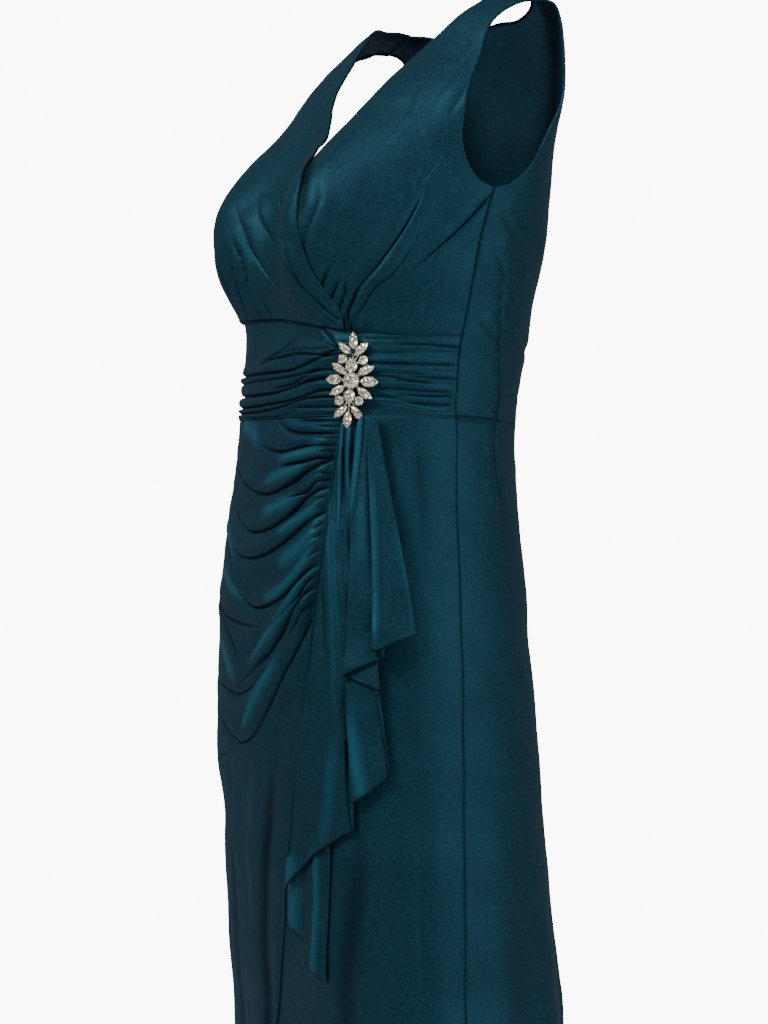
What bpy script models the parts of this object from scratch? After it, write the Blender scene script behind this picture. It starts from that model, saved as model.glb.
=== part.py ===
"""Bodycon midi dress in draped jersey: wrap front, ruched midriff, swagged skirt, cascade and brooch.

Metres, +Z up. The front faces -Y and the wearer's left is +X. The origin is midway between the two
straps, on the line where they rest on the shoulders.

Every panel is a wall of cloth on one general figure. A place on the figure is an angle round the body
(degrees: 0 centre front, 90 the wearer's left side, 180 centre back) and a tape reading, the distance
measured down the body from the shoulder line.
"""
import math

import bmesh
import bpy
import numpy as np
from mathutils import Matrix

# ---- cloth
WALL = 0.0016                # thickness of a panel with its turnings
CASCADE_WALL = 0.0010        # the cascade is a single layer
SEAM = 0.0003                # gap between two panels at a seam
LAYER_GAP = 0.0007           # air between two layers that lie on each other
WRAP_GAP = 0.0014            # air between the two fronts where they cross over the bust
HALF_SEAM = SEAM / 2
HALF_SEAM_ANGLE = 0.07       # half a seam's gap round the body, in degrees
CURVED_SEAM = 0.0005         # kept from a curved seam that the panel beyond it samples elsewhere
DEGREE = 0.0026              # metres round the body for each degree, on average

# ---- the general figure: sections across the body, read down it with a tape
SECTION_COLUMNS = ("tape", "level", "half", "side", "front", "back", "square")
SECTIONS = (
    (0.000, 0.000, 0.170, 0.000, 0.000, 0.000, 2.2),
    (0.025, -0.004, 0.170, 0.000, -0.026, 0.019, 2.2),
    (0.050, -0.019, 0.170, -0.001, -0.049, 0.030, 2.2),
    (0.080, -0.047, 0.168, -0.004, -0.071, 0.039, 2.2),
    (0.120, -0.088, 0.163, -0.012, -0.110, 0.046, 2.2),
    (0.160, -0.126, 0.158, -0.027, -0.137, 0.045, 2.2),
    (0.210, -0.174, 0.152, -0.044, -0.163, 0.050, 2.2),
    (0.250, -0.213, 0.149, -0.055, -0.174, 0.049, 2.2),
    (0.285, -0.247, 0.146, -0.061, -0.181, 0.044, 2.2),
    (0.325, -0.285, 0.142, -0.067, -0.181, 0.036, 2.2),
    (0.375, -0.331, 0.138, -0.076, -0.190, 0.027, 2.2),
    (0.425, -0.377, 0.138, -0.084, -0.197, 0.021, 2.2),
    (0.485, -0.434, 0.146, -0.090, -0.201, 0.021, 2.2),
    (0.555, -0.504, 0.158, -0.094, -0.204, 0.023, 2.3),
    (0.635, -0.584, 0.167, -0.096, -0.205, 0.029, 2.3),
    (0.725, -0.674, 0.171, -0.097, -0.204, 0.037, 2.3),
    (0.825, -0.774, 0.174, -0.098, -0.197, 0.046, 2.3),
    (0.955, -0.904, 0.178, -0.099, -0.183, 0.058, 2.3),
    (1.085, -1.034, 0.183, -0.100, -0.170, 0.069, 2.3),
    (1.220, -1.169, 0.190, -0.101, -0.163, 0.079, 2.3),
)
SHOULDER_SLOPE = 0.28        # fall of the shoulder line for each metre outwards
SHOULDER_REST = 0.100        # half the distance between the middles of the straps
SHOULDER_FADE = (-0.15, -0.02)
RIGHT_DROP, RIGHT_DROP_FADE = 0.020, -0.045      # the right shoulder sits lower, down to a level
BUST_X, BUST_LEVEL, BUST_REACH = 0.078, -0.200, 0.050
BUST_WIDE, BUST_UP, BUST_DOWN = 0.052, 0.090, 0.075

# ---- lengths down the body
WAIST = 0.4215               # waist seam at the front
WAIST_DIP = 0.005            # how much lower it sits at the centre back
HEM = 1.170
SIDE = 88.0                  # angle of the left side seam
SIDE_ROWS = (0.213, 0.235, 0.257, 0.280, 0.303, 0.325, 0.346)      # the bodice's side seam, by tape

# ---- edges and seams, as angle and tape
NECK_EDGE = ((34, 0.000), (34, 0.026), (33, 0.044), (30, 0.060), (27, 0.078), (24.5, 0.100),
             (22.5, 0.134), (19.5, 0.158), (10, 0.197))
UNDER_EDGE = ((10, 0.197), (-10, 0.248), (-30, 0.300))
OVER_NECK = ((10, 0.197), (2, 0.160), (-4, 0.136), (-13, 0.096), (-22, 0.060), (-26, 0.040), (-30, 0.020),
             (-33, 0.000))
OVERLAP = ((39.5, 0.320), (36, 0.304), (33, 0.282), (31, 0.256), (25, 0.228), (10, 0.197))
ARMHOLE = ((54, 0.000), (51.5, 0.018), (47, 0.038), (45, 0.056), (46, 0.072), (49.5, 0.090), (54, 0.112),
           (60, 0.140), (67, 0.172), (75, 0.195), (82, 0.208), (88, 0.213))
BACK_ARMHOLE = ((88, 0.213), (96, 0.208), (104, 0.193), (113, 0.160), (119, 0.120), (123, 0.080),
                (126, 0.040), (127, 0.000))
BACK_NECK = ((146, 0.000), (149, 0.022), (155, 0.044), (166, 0.060), (180, 0.066))
UNDERBUST = ((-90, 0.346), (-60, 0.336), (-34, 0.325), (-4, 0.326), (24, 0.332), (40, 0.3395), (50, 0.344),
             (92, 0.346))
DRAPE_SEAM = ((0.420, 44.5), (0.500, 39.8), (0.580, 35.0), (0.660, 29.8), (0.740, 23.6), (0.820, 15.5),
              (0.900, 6.0), (0.980, -3.0), (1.060, -10.0), (1.180, -17.0))
MIDRIFF_JOIN = 45.0          # angle of the short seam behind the brooch

# ---- folds
# pleats of the right front: a row for each, at a share of the fan from the seam (0) to the neck (1)
PLEAT_COLUMNS = ("share", "height", "spread")
PLEATS = ((0.10, 0.0022, 0.032), (0.22, 0.0026, 0.034), (0.34, 0.0036, 0.036), (0.47, 0.0040, 0.040),
          (0.60, 0.0036, 0.038), (0.73, 0.0030, 0.038), (0.86, 0.0020, 0.036))
# gathers of the right front into the seam below the bust
GATHER_COLUMNS = ("angle", "height", "reach")
GATHERS = ((-62, 0.0020, 0.034), (-48, 0.0026, 0.040), (-34, 0.0028, 0.046), (-20, 0.0028, 0.044),
           (-6, 0.0020, 0.032))
GATHER_SPREAD = 4.5
# soft folds of the left front: from_angle, from_tape, to_angle, to_tape, height, spread
LEFT_FOLDS = ((64, 0.216, 43, 0.330, 0.0032, 0.0085), (86, 0.222, 62, 0.296, 0.0030, 0.0090),
              (66, 0.262, 46, 0.324, 0.0028, 0.0075), (41, 0.236, 39, 0.310, 0.0026, 0.0070),
              (55, 0.104, 58, 0.160, 0.0018, 0.0100))
# ruching: a row for each fold, at a share of the band from top (0) to bottom (1)
RUCHE_COLUMNS = ("share", "height", "spread")
RUCHES_LEFT = ((0.06, 0.0014, 0.030), (0.16, 0.0018, 0.034), (0.27, 0.0020, 0.032), (0.37, 0.0017, 0.030),
               (0.48, 0.0021, 0.034), (0.58, 0.0016, 0.030), (0.68, 0.0020, 0.032), (0.79, 0.0019, 0.034),
               (0.90, 0.0015, 0.030))
RUCHES_RIGHT = ((0.10, 0.0024, 0.055), (0.27, 0.0030, 0.060), (0.44, 0.0026, 0.055), (0.60, 0.0032, 0.055),
                (0.76, 0.0028, 0.050), (0.90, 0.0022, 0.045))
RUCHE_TOP = ((-88, 0.385), (-30, 0.385), (0, 0.374), (MIDRIFF_JOIN, 0.352))
RUCHE_FOOT = ((-88, 0.4185), (-30, 0.4185), (0, 0.4165), (MIDRIFF_JOIN, 0.410))
# swags: where the trough of each leaves the drape seam, hangs lowest and reaches the right hip
SWAG_COLUMNS = ("seam", "low", "hip", "height")
SWAGS = (
    (0.4218, 0.4218, 0.4218, 0.0000),
    (0.436, 0.434, 0.429, 0.0030),
    (0.452, 0.462, 0.436, 0.0040),
    (0.468, 0.494, 0.443, 0.0046),
    (0.481, 0.511, 0.450, 0.0044),
    (0.494, 0.529, 0.458, 0.0056),
    (0.509, 0.552, 0.469, 0.0066),
    (0.527, 0.588, 0.486, 0.0062),
    (0.548, 0.614, 0.516, 0.0070),
    (0.566, 0.652, 0.548, 0.0060),
    (0.584, 0.674, 0.582, 0.0056),
    (0.602, 0.698, 0.618, 0.0050),
    (0.622, 0.724, 0.655, 0.0040),
    (0.648, 0.756, 0.696, 0.0026),
)
SWAG_LOW_ANGLE, SWAG_HIP_ANGLE = 3.0, -60.0
# skirt flare: soft upright folds that open towards the hem
FLARE_TOP = 0.62
FLARE_COLUMNS = ("angle", "height", "spread")
FLARES = ((-70, 0.006, 11), (-38, 0.005, 9), (-10, 0.004, 8), (28, 0.006, 9), (60, 0.005, 9), (104, 0.011, 9),
          (128, 0.016, 9), (153, 0.015, 10), (180, 0.016, 10), (207, 0.015, 10), (232, 0.016, 9),
          (256, 0.011, 9))
# turns of the cascade, from the seam to the free edge: angle at the top, part way and at its hem
TURN_COLUMNS = ("top", "middle", "foot", "hem")
TURNS = (
    (46.0, 39.0, 9.0, 0.905),
    (51.0, 45.0, 32.0, 0.908),
    (47.0, 40.0, 17.5, 0.827),
    (53.0, 50.0, 47.0, 0.778),
    (49.0, 45.0, 45.0, 0.753),
    (55.0, 55.0, 60.0, 0.731),
    (47.0, 44.0, 42.0, 0.646),
    (56.0, 57.0, 57.5, 0.633),
    (52.5, 53.5, 53.5, 0.622),
    (58.0, 66.0, 69.5, 0.610),
)
CASCADE_TOP = 0.4365
CASCADE_MIDDLE = 0.560
CASCADE_PITCH = (0.0016, 0.0026)     # from one layer to the next, at the top and at the foot

# ---- brooch, in its own plane: across and up from its middle
BROOCH_ANGLE, BROOCH_TAPE = 45.2, 0.3886
BROOCH_HALF_WIDTH, BROOCH_HALF_HEIGHT = 0.0205, 0.0430
BROOCH_POINTEDNESS = 1.35
BROOCH_STAND = 0.0032        # the plate bridges the ruching
PLATE = 0.0014
STONE_COLUMNS = ("shape", "across", "up", "length", "width", "turn")
STONES = (
    ("round", -0.7, -0.3, 14.2, 14.2, 0),
    ("marquise", -2.8, 33.8, 15.2, 7.8, 97),
    ("marquise", -9.5, 26.5, 15.6, 6.8, 145),
    ("marquise", 4.9, 27.3, 15.2, 7.2, 46),
    ("round", -11.0, 17.8, 8.0, 8.0, 0),
    ("round", 8.0, 17.9, 8.2, 8.2, 0),
    ("pear", -2.3, 13.1, 12.0, 10.4, 97),
    ("marquise", -13.2, 9.4, 15.6, 6.6, 149),
    ("marquise", 11.2, 9.6, 15.2, 7.2, 28),
    ("marquise", -16.5, -0.3, 14.2, 8.8, 184),
    ("marquise", 15.2, -0.1, 16.2, 9.0, 2),
    ("marquise", -12.7, -9.4, 14.6, 7.2, 212),
    ("marquise", 11.8, -10.2, 15.8, 7.2, -31),
    ("pear", -1.2, -14.2, 12.6, 9.6, -85),
    ("round", -10.1, -18.2, 8.6, 8.6, 0),
    ("round", 8.0, -17.1, 8.0, 8.0, 0),
    ("marquise", -8.1, -27.6, 14.0, 6.9, 224),
    ("marquise", -0.7, -34.0, 14.4, 7.6, -88),
    ("marquise", 7.2, -27.7, 15.4, 6.7, -44),
)
STONE_UNIT = 0.001           # the stones' table is in millimetres
STONE_HEIGHT = 0.38          # of the stone's width
STONE_TABLE = 0.55           # top facet, of the outline
STONE_SIDES = 8


def table(columns, rows):
    """A table as one array a column, by name."""
    return {name: np.array(values) for name, values in zip(columns, zip(*rows))}


def smooth(value, low, high):
    share = np.clip((value - low) / (high - low), 0.0, 1.0)
    return share * share * (3 - 2 * share)


def read(places, at):
    """A smooth curve through (place, value) rows, read at the places given."""
    x, y = np.array(places, dtype=float).T
    return hermite(at, x, y)


def hermite(at, x, y):
    slopes = np.gradient(y, x)
    i = np.clip(np.searchsorted(x, at, side="right") - 1, 0, len(x) - 2)
    width = x[i + 1] - x[i]
    s = (at - x[i]) / width
    start = (1 + 2 * s) * (1 - s) ** 2 * y[i] + s * (1 - s) ** 2 * width * slopes[i]
    return start + s * s * (3 - 2 * s) * y[i + 1] + s * s * (s - 1) * width * slopes[i + 1]


FIGURE = table(SECTION_COLUMNS, SECTIONS)


def figure(angle, tape):
    """The point of the general figure at an angle and a tape reading."""
    angle, tape = np.broadcast_arrays(np.radians(angle), np.asarray(tape, dtype=float))
    level, half, side, front, back, square = (
        hermite(tape, FIGURE["tape"], FIGURE[name]) for name in SECTION_COLUMNS[1:])
    sine, cosine = np.sin(angle), np.cos(angle)
    reach = (np.abs(sine) ** square + np.abs(cosine) ** square) ** (-1 / square)
    x = half * reach * sine
    y = side - np.where(cosine > 0, side - front, back - side) * reach * cosine
    rise = level - BUST_LEVEL
    upright = np.exp(-(rise / np.where(rise > 0, BUST_UP, BUST_DOWN)) ** 2)
    across = np.exp(-((x - BUST_X) / BUST_WIDE) ** 2) + np.exp(-((x + BUST_X) / BUST_WIDE) ** 2)
    y = y - BUST_REACH * upright * across * smooth(cosine, 0.0, 0.6)
    fall = SHOULDER_SLOPE * (np.abs(x) - SHOULDER_REST) * smooth(level, *SHOULDER_FADE)
    fall = fall + RIGHT_DROP * smooth(-x, 0.0, 0.06) * smooth(level, RIGHT_DROP_FADE, 0.0)
    return np.stack([x, y, level - fall], axis=-1)


def outward(angle, tape):
    """The figure's normal, pointing away from the body."""
    step_angle, step_tape = 0.2, 0.0005
    down = figure(angle, tape + step_tape) - figure(angle, tape - step_tape)
    round_body = figure(angle + step_angle, tape) - figure(angle - step_angle, tape)
    normal = np.cross(down, round_body)
    return normal / np.linalg.norm(normal, axis=-1, keepdims=True)


def girth(angle, tape):
    """Metres along the figure for each degree round it."""
    return np.linalg.norm(figure(angle + 0.5, tape) - figure(angle - 0.5, tape), axis=-1)


# ---- edges of panels, as rows of (angle, tape)
def along(points, count):
    """count + 1 places along a smooth curve through the points, even in the share of its length."""
    points = np.array(points, dtype=float)
    steps = np.hypot(np.diff(points[:, 0]) * DEGREE, np.diff(points[:, 1]))
    distance = np.concatenate([[0.0], np.cumsum(steps)])
    at = np.linspace(0.0, distance[-1], count + 1)
    return np.stack([hermite(at, distance, points[:, 0]), hermite(at, distance, points[:, 1])], axis=-1)


def joined(*pieces):
    """One edge from several, each beginning where the one before it ends."""
    return np.concatenate([pieces[0]] + [piece[1:] for piece in pieces[1:]])


def mirrored(points):
    return tuple((-angle, tape) for angle, tape in points)


def ruled(top, bottom, shares):
    """Places between two edges, a column for each pair of places and a row for each share."""
    shares = np.asarray(shares)[None, :, None]
    return top[:, None] * (1 - shares) + bottom[:, None] * shares


def coons(near, far, start, end):
    """Places inside four edges: near and far run in the columns, start and end in the rows."""
    across = np.linspace(0, 1, len(near))[:, None, None]
    up = np.linspace(0, 1, len(start))[None, :, None]
    between = near[:, None] * (1 - up) + far[:, None] * up
    between = between + start[None] * (1 - across) + end[None] * across
    corners = (near[0] * (1 - across) + near[-1] * across) * (1 - up)
    return between - corners - (far[0] * (1 - across) + far[-1] * across) * up


def waist_tape(angle):
    return WAIST + WAIST_DIP * smooth(-np.cos(np.radians(angle)), 0.0, 0.7)


def drape_angle(tape):
    return read(DRAPE_SEAM, tape)


# ---- fold heights, in metres above the lowest the cloth can lie
def bumps(at, centres, heights, spreads):
    """Rounded ridges side by side, read at one coordinate."""
    return sum(h * np.exp(-((at - c) / s) ** 2) for c, h, s in zip(centres, heights, spreads))


def flare(angle, tape):
    rows = table(FLARE_COLUMNS, FLARES)
    opening = smooth(tape, FLARE_TOP, HEM) * (tape - FLARE_TOP) / (HEM - FLARE_TOP)
    turned = np.where(angle < -90, angle + 360, angle)
    ridges = bumps(turned, rows["angle"], rows["height"], rows["spread"])
    ridges = ridges + bumps(turned, rows["angle"] + 360, rows["height"], rows["spread"])
    return opening * (ridges + bumps(turned, rows["angle"] - 360, rows["height"], rows["spread"]))


def left_folds(angle, tape):
    """Soft folds of the left front, each along its own line."""
    height = np.zeros(np.shape(angle))
    for from_angle, from_tape, to_angle, to_tape, rise, spread in LEFT_FOLDS:
        line = np.array([(to_angle - from_angle) * DEGREE, to_tape - from_tape])
        length = np.hypot(*line)
        x, y = (angle - from_angle) * DEGREE, tape - from_tape
        share = (x * line[0] + y * line[1]) / length ** 2
        apart = (x * line[1] - y * line[0]) / length
        fade = smooth(share, -0.1, 0.3) * (1 - smooth(share, 0.85, 1.05))
        height = height + rise * fade * np.exp(-(apart / spread) ** 2)
    return height


def under_edge_angle(tape):
    """Angle of the hidden edge of the left front, carried on upwards past the crossing."""
    slope = (UNDER_EDGE[-1][0] - UNDER_EDGE[0][0]) / (UNDER_EDGE[-1][1] - UNDER_EDGE[0][1])
    return np.maximum(UNDER_EDGE[0][0] + slope * (tape - UNDER_EDGE[0][1]), UNDER_EDGE[-1][0])


def over_lift(angle, tape):
    """How far the right front stands off where the left front lies below it."""
    edge = under_edge_angle(tape)
    over = smooth(angle, edge - 18, edge - 7)
    return over * (WALL + WRAP_GAP)


# ---- solids
def panel(name, places, lift, material):
    """One panel over a grid of places, its inner side lifted off the figure by the heights given."""
    angle, tape = places[..., 0], places[..., 1]
    base, normal = figure(angle, tape), outward(angle, tape)
    return cloth_wall(name, [base + normal * (lift + wall)[..., None] for wall in (0.0, WALL)], material)


def cloth_wall(name, sides, material):
    """A closed wall between two grids of points, the first its inner side."""
    columns, rows = sides[0].shape[0] - 1, sides[0].shape[1] - 1
    bm = bmesh.new()
    bmesh.ops.create_grid(bm, x_segments=columns, y_segments=rows, size=0.5)
    bmesh.ops.triangulate(bm, faces=bm.faces[:])
    outer = bmesh.ops.extrude_face_region(bm, geom=bm.faces[:], use_keep_orig=True)["geom"]
    outer = {item for item in outer if isinstance(item, bmesh.types.BMVert)}
    for vertex in bm.verts:
        column = round((vertex.co.x + 0.5) * columns)
        row = round((vertex.co.y + 0.5) * rows)
        vertex.co = sides[vertex in outer][column, row]
    bmesh.ops.recalc_face_normals(bm, faces=bm.faces[:])
    return add_solid(name, bm, material)


def add_solid(name, bm, material):
    mesh = bpy.data.meshes.new(name)
    bm.to_mesh(mesh)
    bm.free()
    mesh.shade_smooth()
    mesh.set_sharp_from_angle(angle=math.radians(50))
    mesh.materials.append(material)
    solid = bpy.data.objects.new(name, mesh)
    COLLECTION.objects.link(solid)
    return solid


def bodice_front_left(material):
    side_rows = np.unique(np.concatenate([SIDE_ROWS, (np.array(SIDE_ROWS[1:]) + SIDE_ROWS[:-1]) / 2]))
    side_seam = np.stack([np.full(len(side_rows), SIDE), side_rows], axis=-1)
    outer = joined(along(ARMHOLE, 13), side_seam)
    inner = joined(along(NECK_EDGE, 13), along(UNDER_EDGE, len(side_rows) - 1))
    angles = joined(np.linspace(SIDE, 52, 11), np.linspace(52, UNDER_EDGE[-1][0], 16))
    shoulder = along((ARMHOLE[0], NECK_EDGE[0]), len(angles) - 1)
    bottom = np.stack([angles, read(UNDERBUST, angles) - CURVED_SEAM], axis=-1)
    outer[-1], inner[-1] = bottom[0], bottom[-1]
    places = coons(outer, inner, shoulder, bottom)
    places[..., 1] = np.maximum(places[..., 1], HALF_SEAM)
    places[13:, 0, 0] -= HALF_SEAM_ANGLE
    angle, tape = places[..., 0], places[..., 1]
    shown = 1 - over_shadow(angle, tape)
    fade = smooth(tape, 0.06, 0.12) * (1 - smooth(angle, 84, 88))
    lift = left_folds(angle, tape) * shown * fade
    return panel("bodice_front_left", places, lift, material)


def over_shadow(angle, tape):
    """1 where the right front lies over the left one, fading to 0 outside its edge."""
    tapes = [place[1] for place in OVERLAP[::-1]]
    angles = [place[0] for place in OVERLAP[::-1]]
    edge = np.interp(tape, tapes, angles)
    return (1 - smooth(angle, edge, edge + 5)) * smooth(tape, 0.17, 0.20)


def bodice_front_right(material):
    rays, steps = 28, 20
    near_angles = 40 - (40 + SIDE) * np.linspace(0, 1, steps + 1) ** 1.15
    near = np.stack([near_angles, read(UNDERBUST, near_angles) - CURVED_SEAM], axis=-1)
    far = joined(along(OVERLAP, 11), along(OVER_NECK, steps - 11))
    start = np.linspace(near[0], far[0], rays + 1)
    side_seam = np.stack([np.full(len(SIDE_ROWS), -SIDE), SIDE_ROWS[::-1]], axis=-1)
    side_seam[0] = near[-1]
    end = joined(side_seam, along(mirrored(ARMHOLE[::-1]), rays - len(SIDE_ROWS) - 2),
                 along((mirrored(ARMHOLE)[0], OVER_NECK[-1]), 3))
    places = coons(near, far, start, end)
    places[..., 1] = np.maximum(places[..., 1], HALF_SEAM)
    places[-1, :len(SIDE_ROWS), 0] += HALF_SEAM_ANGLE
    angle, tape = places[..., 0], places[..., 1]
    share = np.linspace(0, 1, rays + 1)[None, :]
    step = np.linspace(0, 1, steps + 1)[:, None]
    rows = table(PLEAT_COLUMNS, PLEATS)
    pleats = bumps(share, rows["share"], rows["height"], rows["spread"])
    pleats = pleats * smooth(step, -0.12, 0.16) * (1 - smooth(step, 0.45, 0.85))
    rows = table(GATHER_COLUMNS, GATHERS)
    above = read(UNDERBUST, angle) - tape
    gathers = sum(h * np.exp(-((angle - a) / GATHER_SPREAD) ** 2) * (1 - smooth(above, 0.2 * reach, reach))
                  for a, h, reach in zip(rows["angle"], rows["height"], rows["reach"]))
    lift = over_lift(angle, tape) + pleats + gathers
    return panel("bodice_front_right", places, lift, material)


def bodice_back(material):
    neck = joined(along(BACK_NECK, 6), along(tuple((360 - a, t) for a, t in BACK_NECK[::-1]), 6))
    left = joined(along(BACK_ARMHOLE, 9), along((BACK_ARMHOLE[-1], BACK_NECK[0]), 4))
    right = np.stack([360 - left[::-1, 0], left[::-1, 1]], axis=-1)
    top = joined(left, neck, right)
    shares = np.linspace(0, 1, len(top))
    angles = SIDE + (360 - 2 * SIDE) * (shares + 0.06 * np.sin(2 * np.pi * shares))
    bottom = np.stack([angles, waist_tape(angles) - HALF_SEAM], axis=-1)
    stops = np.concatenate([SIDE_ROWS, [0.365, 0.384, 0.403, waist_tape(SIDE) - HALF_SEAM]])
    places = ruled(top, bottom, (stops - stops[0]) / (stops[-1] - stops[0]))
    places[..., 1] = np.maximum(places[..., 1], HALF_SEAM)
    places[0, :, 0] += HALF_SEAM_ANGLE
    places[-1, :, 0] -= HALF_SEAM_ANGLE
    return panel("bodice_back", places, np.zeros(places.shape[:2]), material)


def midriff_left(material):
    rows = table(RUCHE_COLUMNS, RUCHES_LEFT)
    shares = np.linspace(0, 1, 31)
    angles = np.array([MIDRIFF_JOIN + HALF_SEAM_ANGLE, 50, 56, 63, 70, 78, SIDE - HALF_SEAM_ANGLE])
    top = np.stack([angles, read(UNDERBUST, angles) + HALF_SEAM], axis=-1)
    bottom = np.stack([angles, waist_tape(angles) - HALF_SEAM], axis=-1)
    places = ruled(top, bottom, shares)
    ridges = bumps(shares, rows["share"], rows["height"], rows["spread"])[None, :]
    lift = ridges * (1 - 0.75 * smooth(angles, 76, SIDE))[:, None]
    return panel("midriff_left", places, lift, material)


def midriff_right(material):
    rows = table(RUCHE_COLUMNS, RUCHES_RIGHT)
    angles = np.concatenate([[-SIDE + HALF_SEAM_ANGLE], np.linspace(-78, 37, 11),
                             [MIDRIFF_JOIN - HALF_SEAM_ANGLE]])
    head = read(UNDERBUST, angles) + HALF_SEAM
    first, last = read(RUCHE_TOP, angles), read(RUCHE_FOOT, angles)
    foot = waist_tape(angles) - HALF_SEAM
    shares = np.linspace(0, 1, 25)
    stops = [head[:, None] + (first - head)[:, None] * np.array([0.0, 0.35, 0.7])[None],
             first[:, None] + (last - first)[:, None] * shares[None], foot[:, None]]
    tapes = np.concatenate(stops, axis=1)
    places = np.stack([np.repeat(angles[:, None], tapes.shape[1], axis=1), tapes], axis=-1)
    ridges = np.concatenate([np.zeros(3), bumps(shares, rows["share"], rows["height"], rows["spread"]), [0.0]])
    lift = ridges[None, :] * (0.45 + 0.55 * (1 - smooth(angles, 18, 44)))[:, None]
    return panel("midriff_right", places, lift, material)


def skirt_back(material):
    angles = np.linspace(SIDE + HALF_SEAM_ANGLE, 360 - SIDE - HALF_SEAM_ANGLE, 33)
    shares = np.linspace(0, 1, 12)
    top = np.stack([angles, waist_tape(angles) + HALF_SEAM], axis=-1)
    bottom = np.stack([angles, np.full(len(angles), HEM)], axis=-1)
    places = ruled(top, bottom, shares)
    lift = flare(places[..., 0], places[..., 1])
    return panel("skirt_back", places, lift, material)


def swag_rows():
    """Rows of the draped front: three for each swag, then plain ones to the hem, with fold heights."""
    rows = table(SWAG_COLUMNS, SWAGS)
    seam, low, hip, height = [], [], [], []
    for k in range(len(SWAGS) - 1):
        for share, rise in ((0.0, 0.0), (0.30, 0.75), (0.62, 1.0)):
            seam.append(rows["seam"][k] * (1 - share) + rows["seam"][k + 1] * share)
            low.append(rows["low"][k] * (1 - share) + rows["low"][k + 1] * share)
            hip.append(rows["hip"][k] * (1 - share) + rows["hip"][k + 1] * share)
            height.append(rise * rows["height"][k + 1])
    plain = np.linspace(0, 1, 11)
    for values, column in ((seam, "seam"), (low, "low"), (hip, "hip")):
        values.extend(rows[column][-1] * (1 - plain) + HEM * plain)
    height.extend(np.zeros(len(plain)))
    return np.array(seam), np.array(low), np.array(hip), np.array(height)


def skirt_drape_right(material):
    seam, low, hip, height = swag_rows()
    columns = 13
    share = (np.linspace(0, 1, columns + 1) ** 1.05)[:, None]
    seam_angle = (drape_angle(seam) - HALF_SEAM_ANGLE)[None, :]
    angle = seam_angle + (-SIDE + HALF_SEAM_ANGLE - seam_angle) * share
    low_angle = np.minimum(SWAG_LOW_ANGLE, seam_angle - 25)
    rising = np.clip((angle - low_angle) / (seam_angle - low_angle), 0, 1) ** 1.6
    hipward = np.clip((low_angle - angle) / (low_angle - SWAG_HIP_ANGLE), 0, 1)
    hipward = hipward * hipward * (3 - 2 * hipward)
    tape = low + (seam - low) * rising + (hip - low) * hipward
    places = np.stack([angle, np.broadcast_to(tape, angle.shape)], axis=-1)
    swell = 0.45 + 0.55 * (1 - smooth(angle, 15, 42))
    lift = height[None, :] * swell * smooth(angle, -88, -45) + flare(angle, places[..., 1])
    return panel("skirt_drape_right", places, lift, material)


def skirt_front_left(material):
    seam, _, _, _ = swag_rows()
    seam = seam[[0] + list(range(3, len(seam) - 11, 3)) + list(range(len(seam) - 11, len(seam)))]
    first = drape_angle(seam) + HALF_SEAM_ANGLE
    columns = 9
    share = np.linspace(0, 1, columns + 1)[:, None]
    angle = first + (SIDE - HALF_SEAM_ANGLE - first) * share
    places = np.stack([angle, np.broadcast_to(seam, angle.shape)], axis=-1)
    lift = flare(places[..., 0], places[..., 1])
    return panel("skirt_front_left", places, lift, material)


def cascade(material):
    """A fall of cloth folded to and fro, each run on the one before it, with a slanting hem."""
    turns = table(TURN_COLUMNS, TURNS)
    run_stops = (0.0, 0.14, 0.5, 0.86)
    index = np.array([k + s for k in range(len(TURNS) - 1) for s in run_stops] + [len(TURNS) - 1.0])
    order = np.arange(len(TURNS))
    top, middle, foot, hem = (np.interp(index, order, turns[name]) for name in TURN_COLUMNS)
    layer = np.floor(index) + np.where(index % 1 == 0, -0.5, 0.0)
    layer[0], layer[-1] = 0.0, len(TURNS) - 2.0
    shares = np.linspace(0, 1, 11)[None, :]
    tape = CASCADE_TOP + (hem[:, None] - CASCADE_TOP) * shares
    knot = ((CASCADE_MIDDLE - CASCADE_TOP) / (hem - CASCADE_TOP))[:, None]
    bend = (foot - top - (middle - top) / knot[:, 0])[:, None] / (1 - knot)
    angle = top[:, None] + shares * ((middle - top)[:, None] / knot) + bend * shares * (shares - knot)
    angle[0] = np.maximum(angle[0], drape_angle(tape[0]) + 1.2)
    pitch = CASCADE_PITCH[0] + (CASCADE_PITCH[1] - CASCADE_PITCH[0]) * shares
    width = girth(angle, tape)
    across = angle * width
    above = WALL + LAYER_GAP + CASCADE_WALL / 2 + layer[:, None] * pitch
    run = np.stack([np.gradient(across, axis=0), np.gradient(above, axis=0)], axis=-1)
    run = run / np.linalg.norm(run, axis=-1, keepdims=True)
    walls = []
    for side in (-0.5, 0.5):
        offset = side * CASCADE_WALL
        a = angle - offset * run[..., 1] / width
        h = above + offset * run[..., 0] + flare(a, tape)
        walls.append(figure(a, tape) + outward(a, tape) * h[..., None])
    return cloth_wall("cascade", walls, material)


# ---- brooch
def brooch_frame():
    """A matrix from the brooch's own plane to its place on the midriff."""
    here = (BROOCH_ANGLE, BROOCH_TAPE)
    normal = outward(*here)
    up = figure(here[0], here[1] - 0.02) - figure(here[0], here[1] + 0.02)
    up = up - normal * np.dot(up, normal)
    up = up / np.linalg.norm(up)
    right = np.cross(up, normal)
    seat = figure(*here) + normal * (WALL + BROOCH_STAND)
    frame = Matrix.Identity(4)
    for column, axis in enumerate((right, up, normal, seat)):
        for row in range(3):
            frame[row][column] = axis[row]
    return frame


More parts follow.
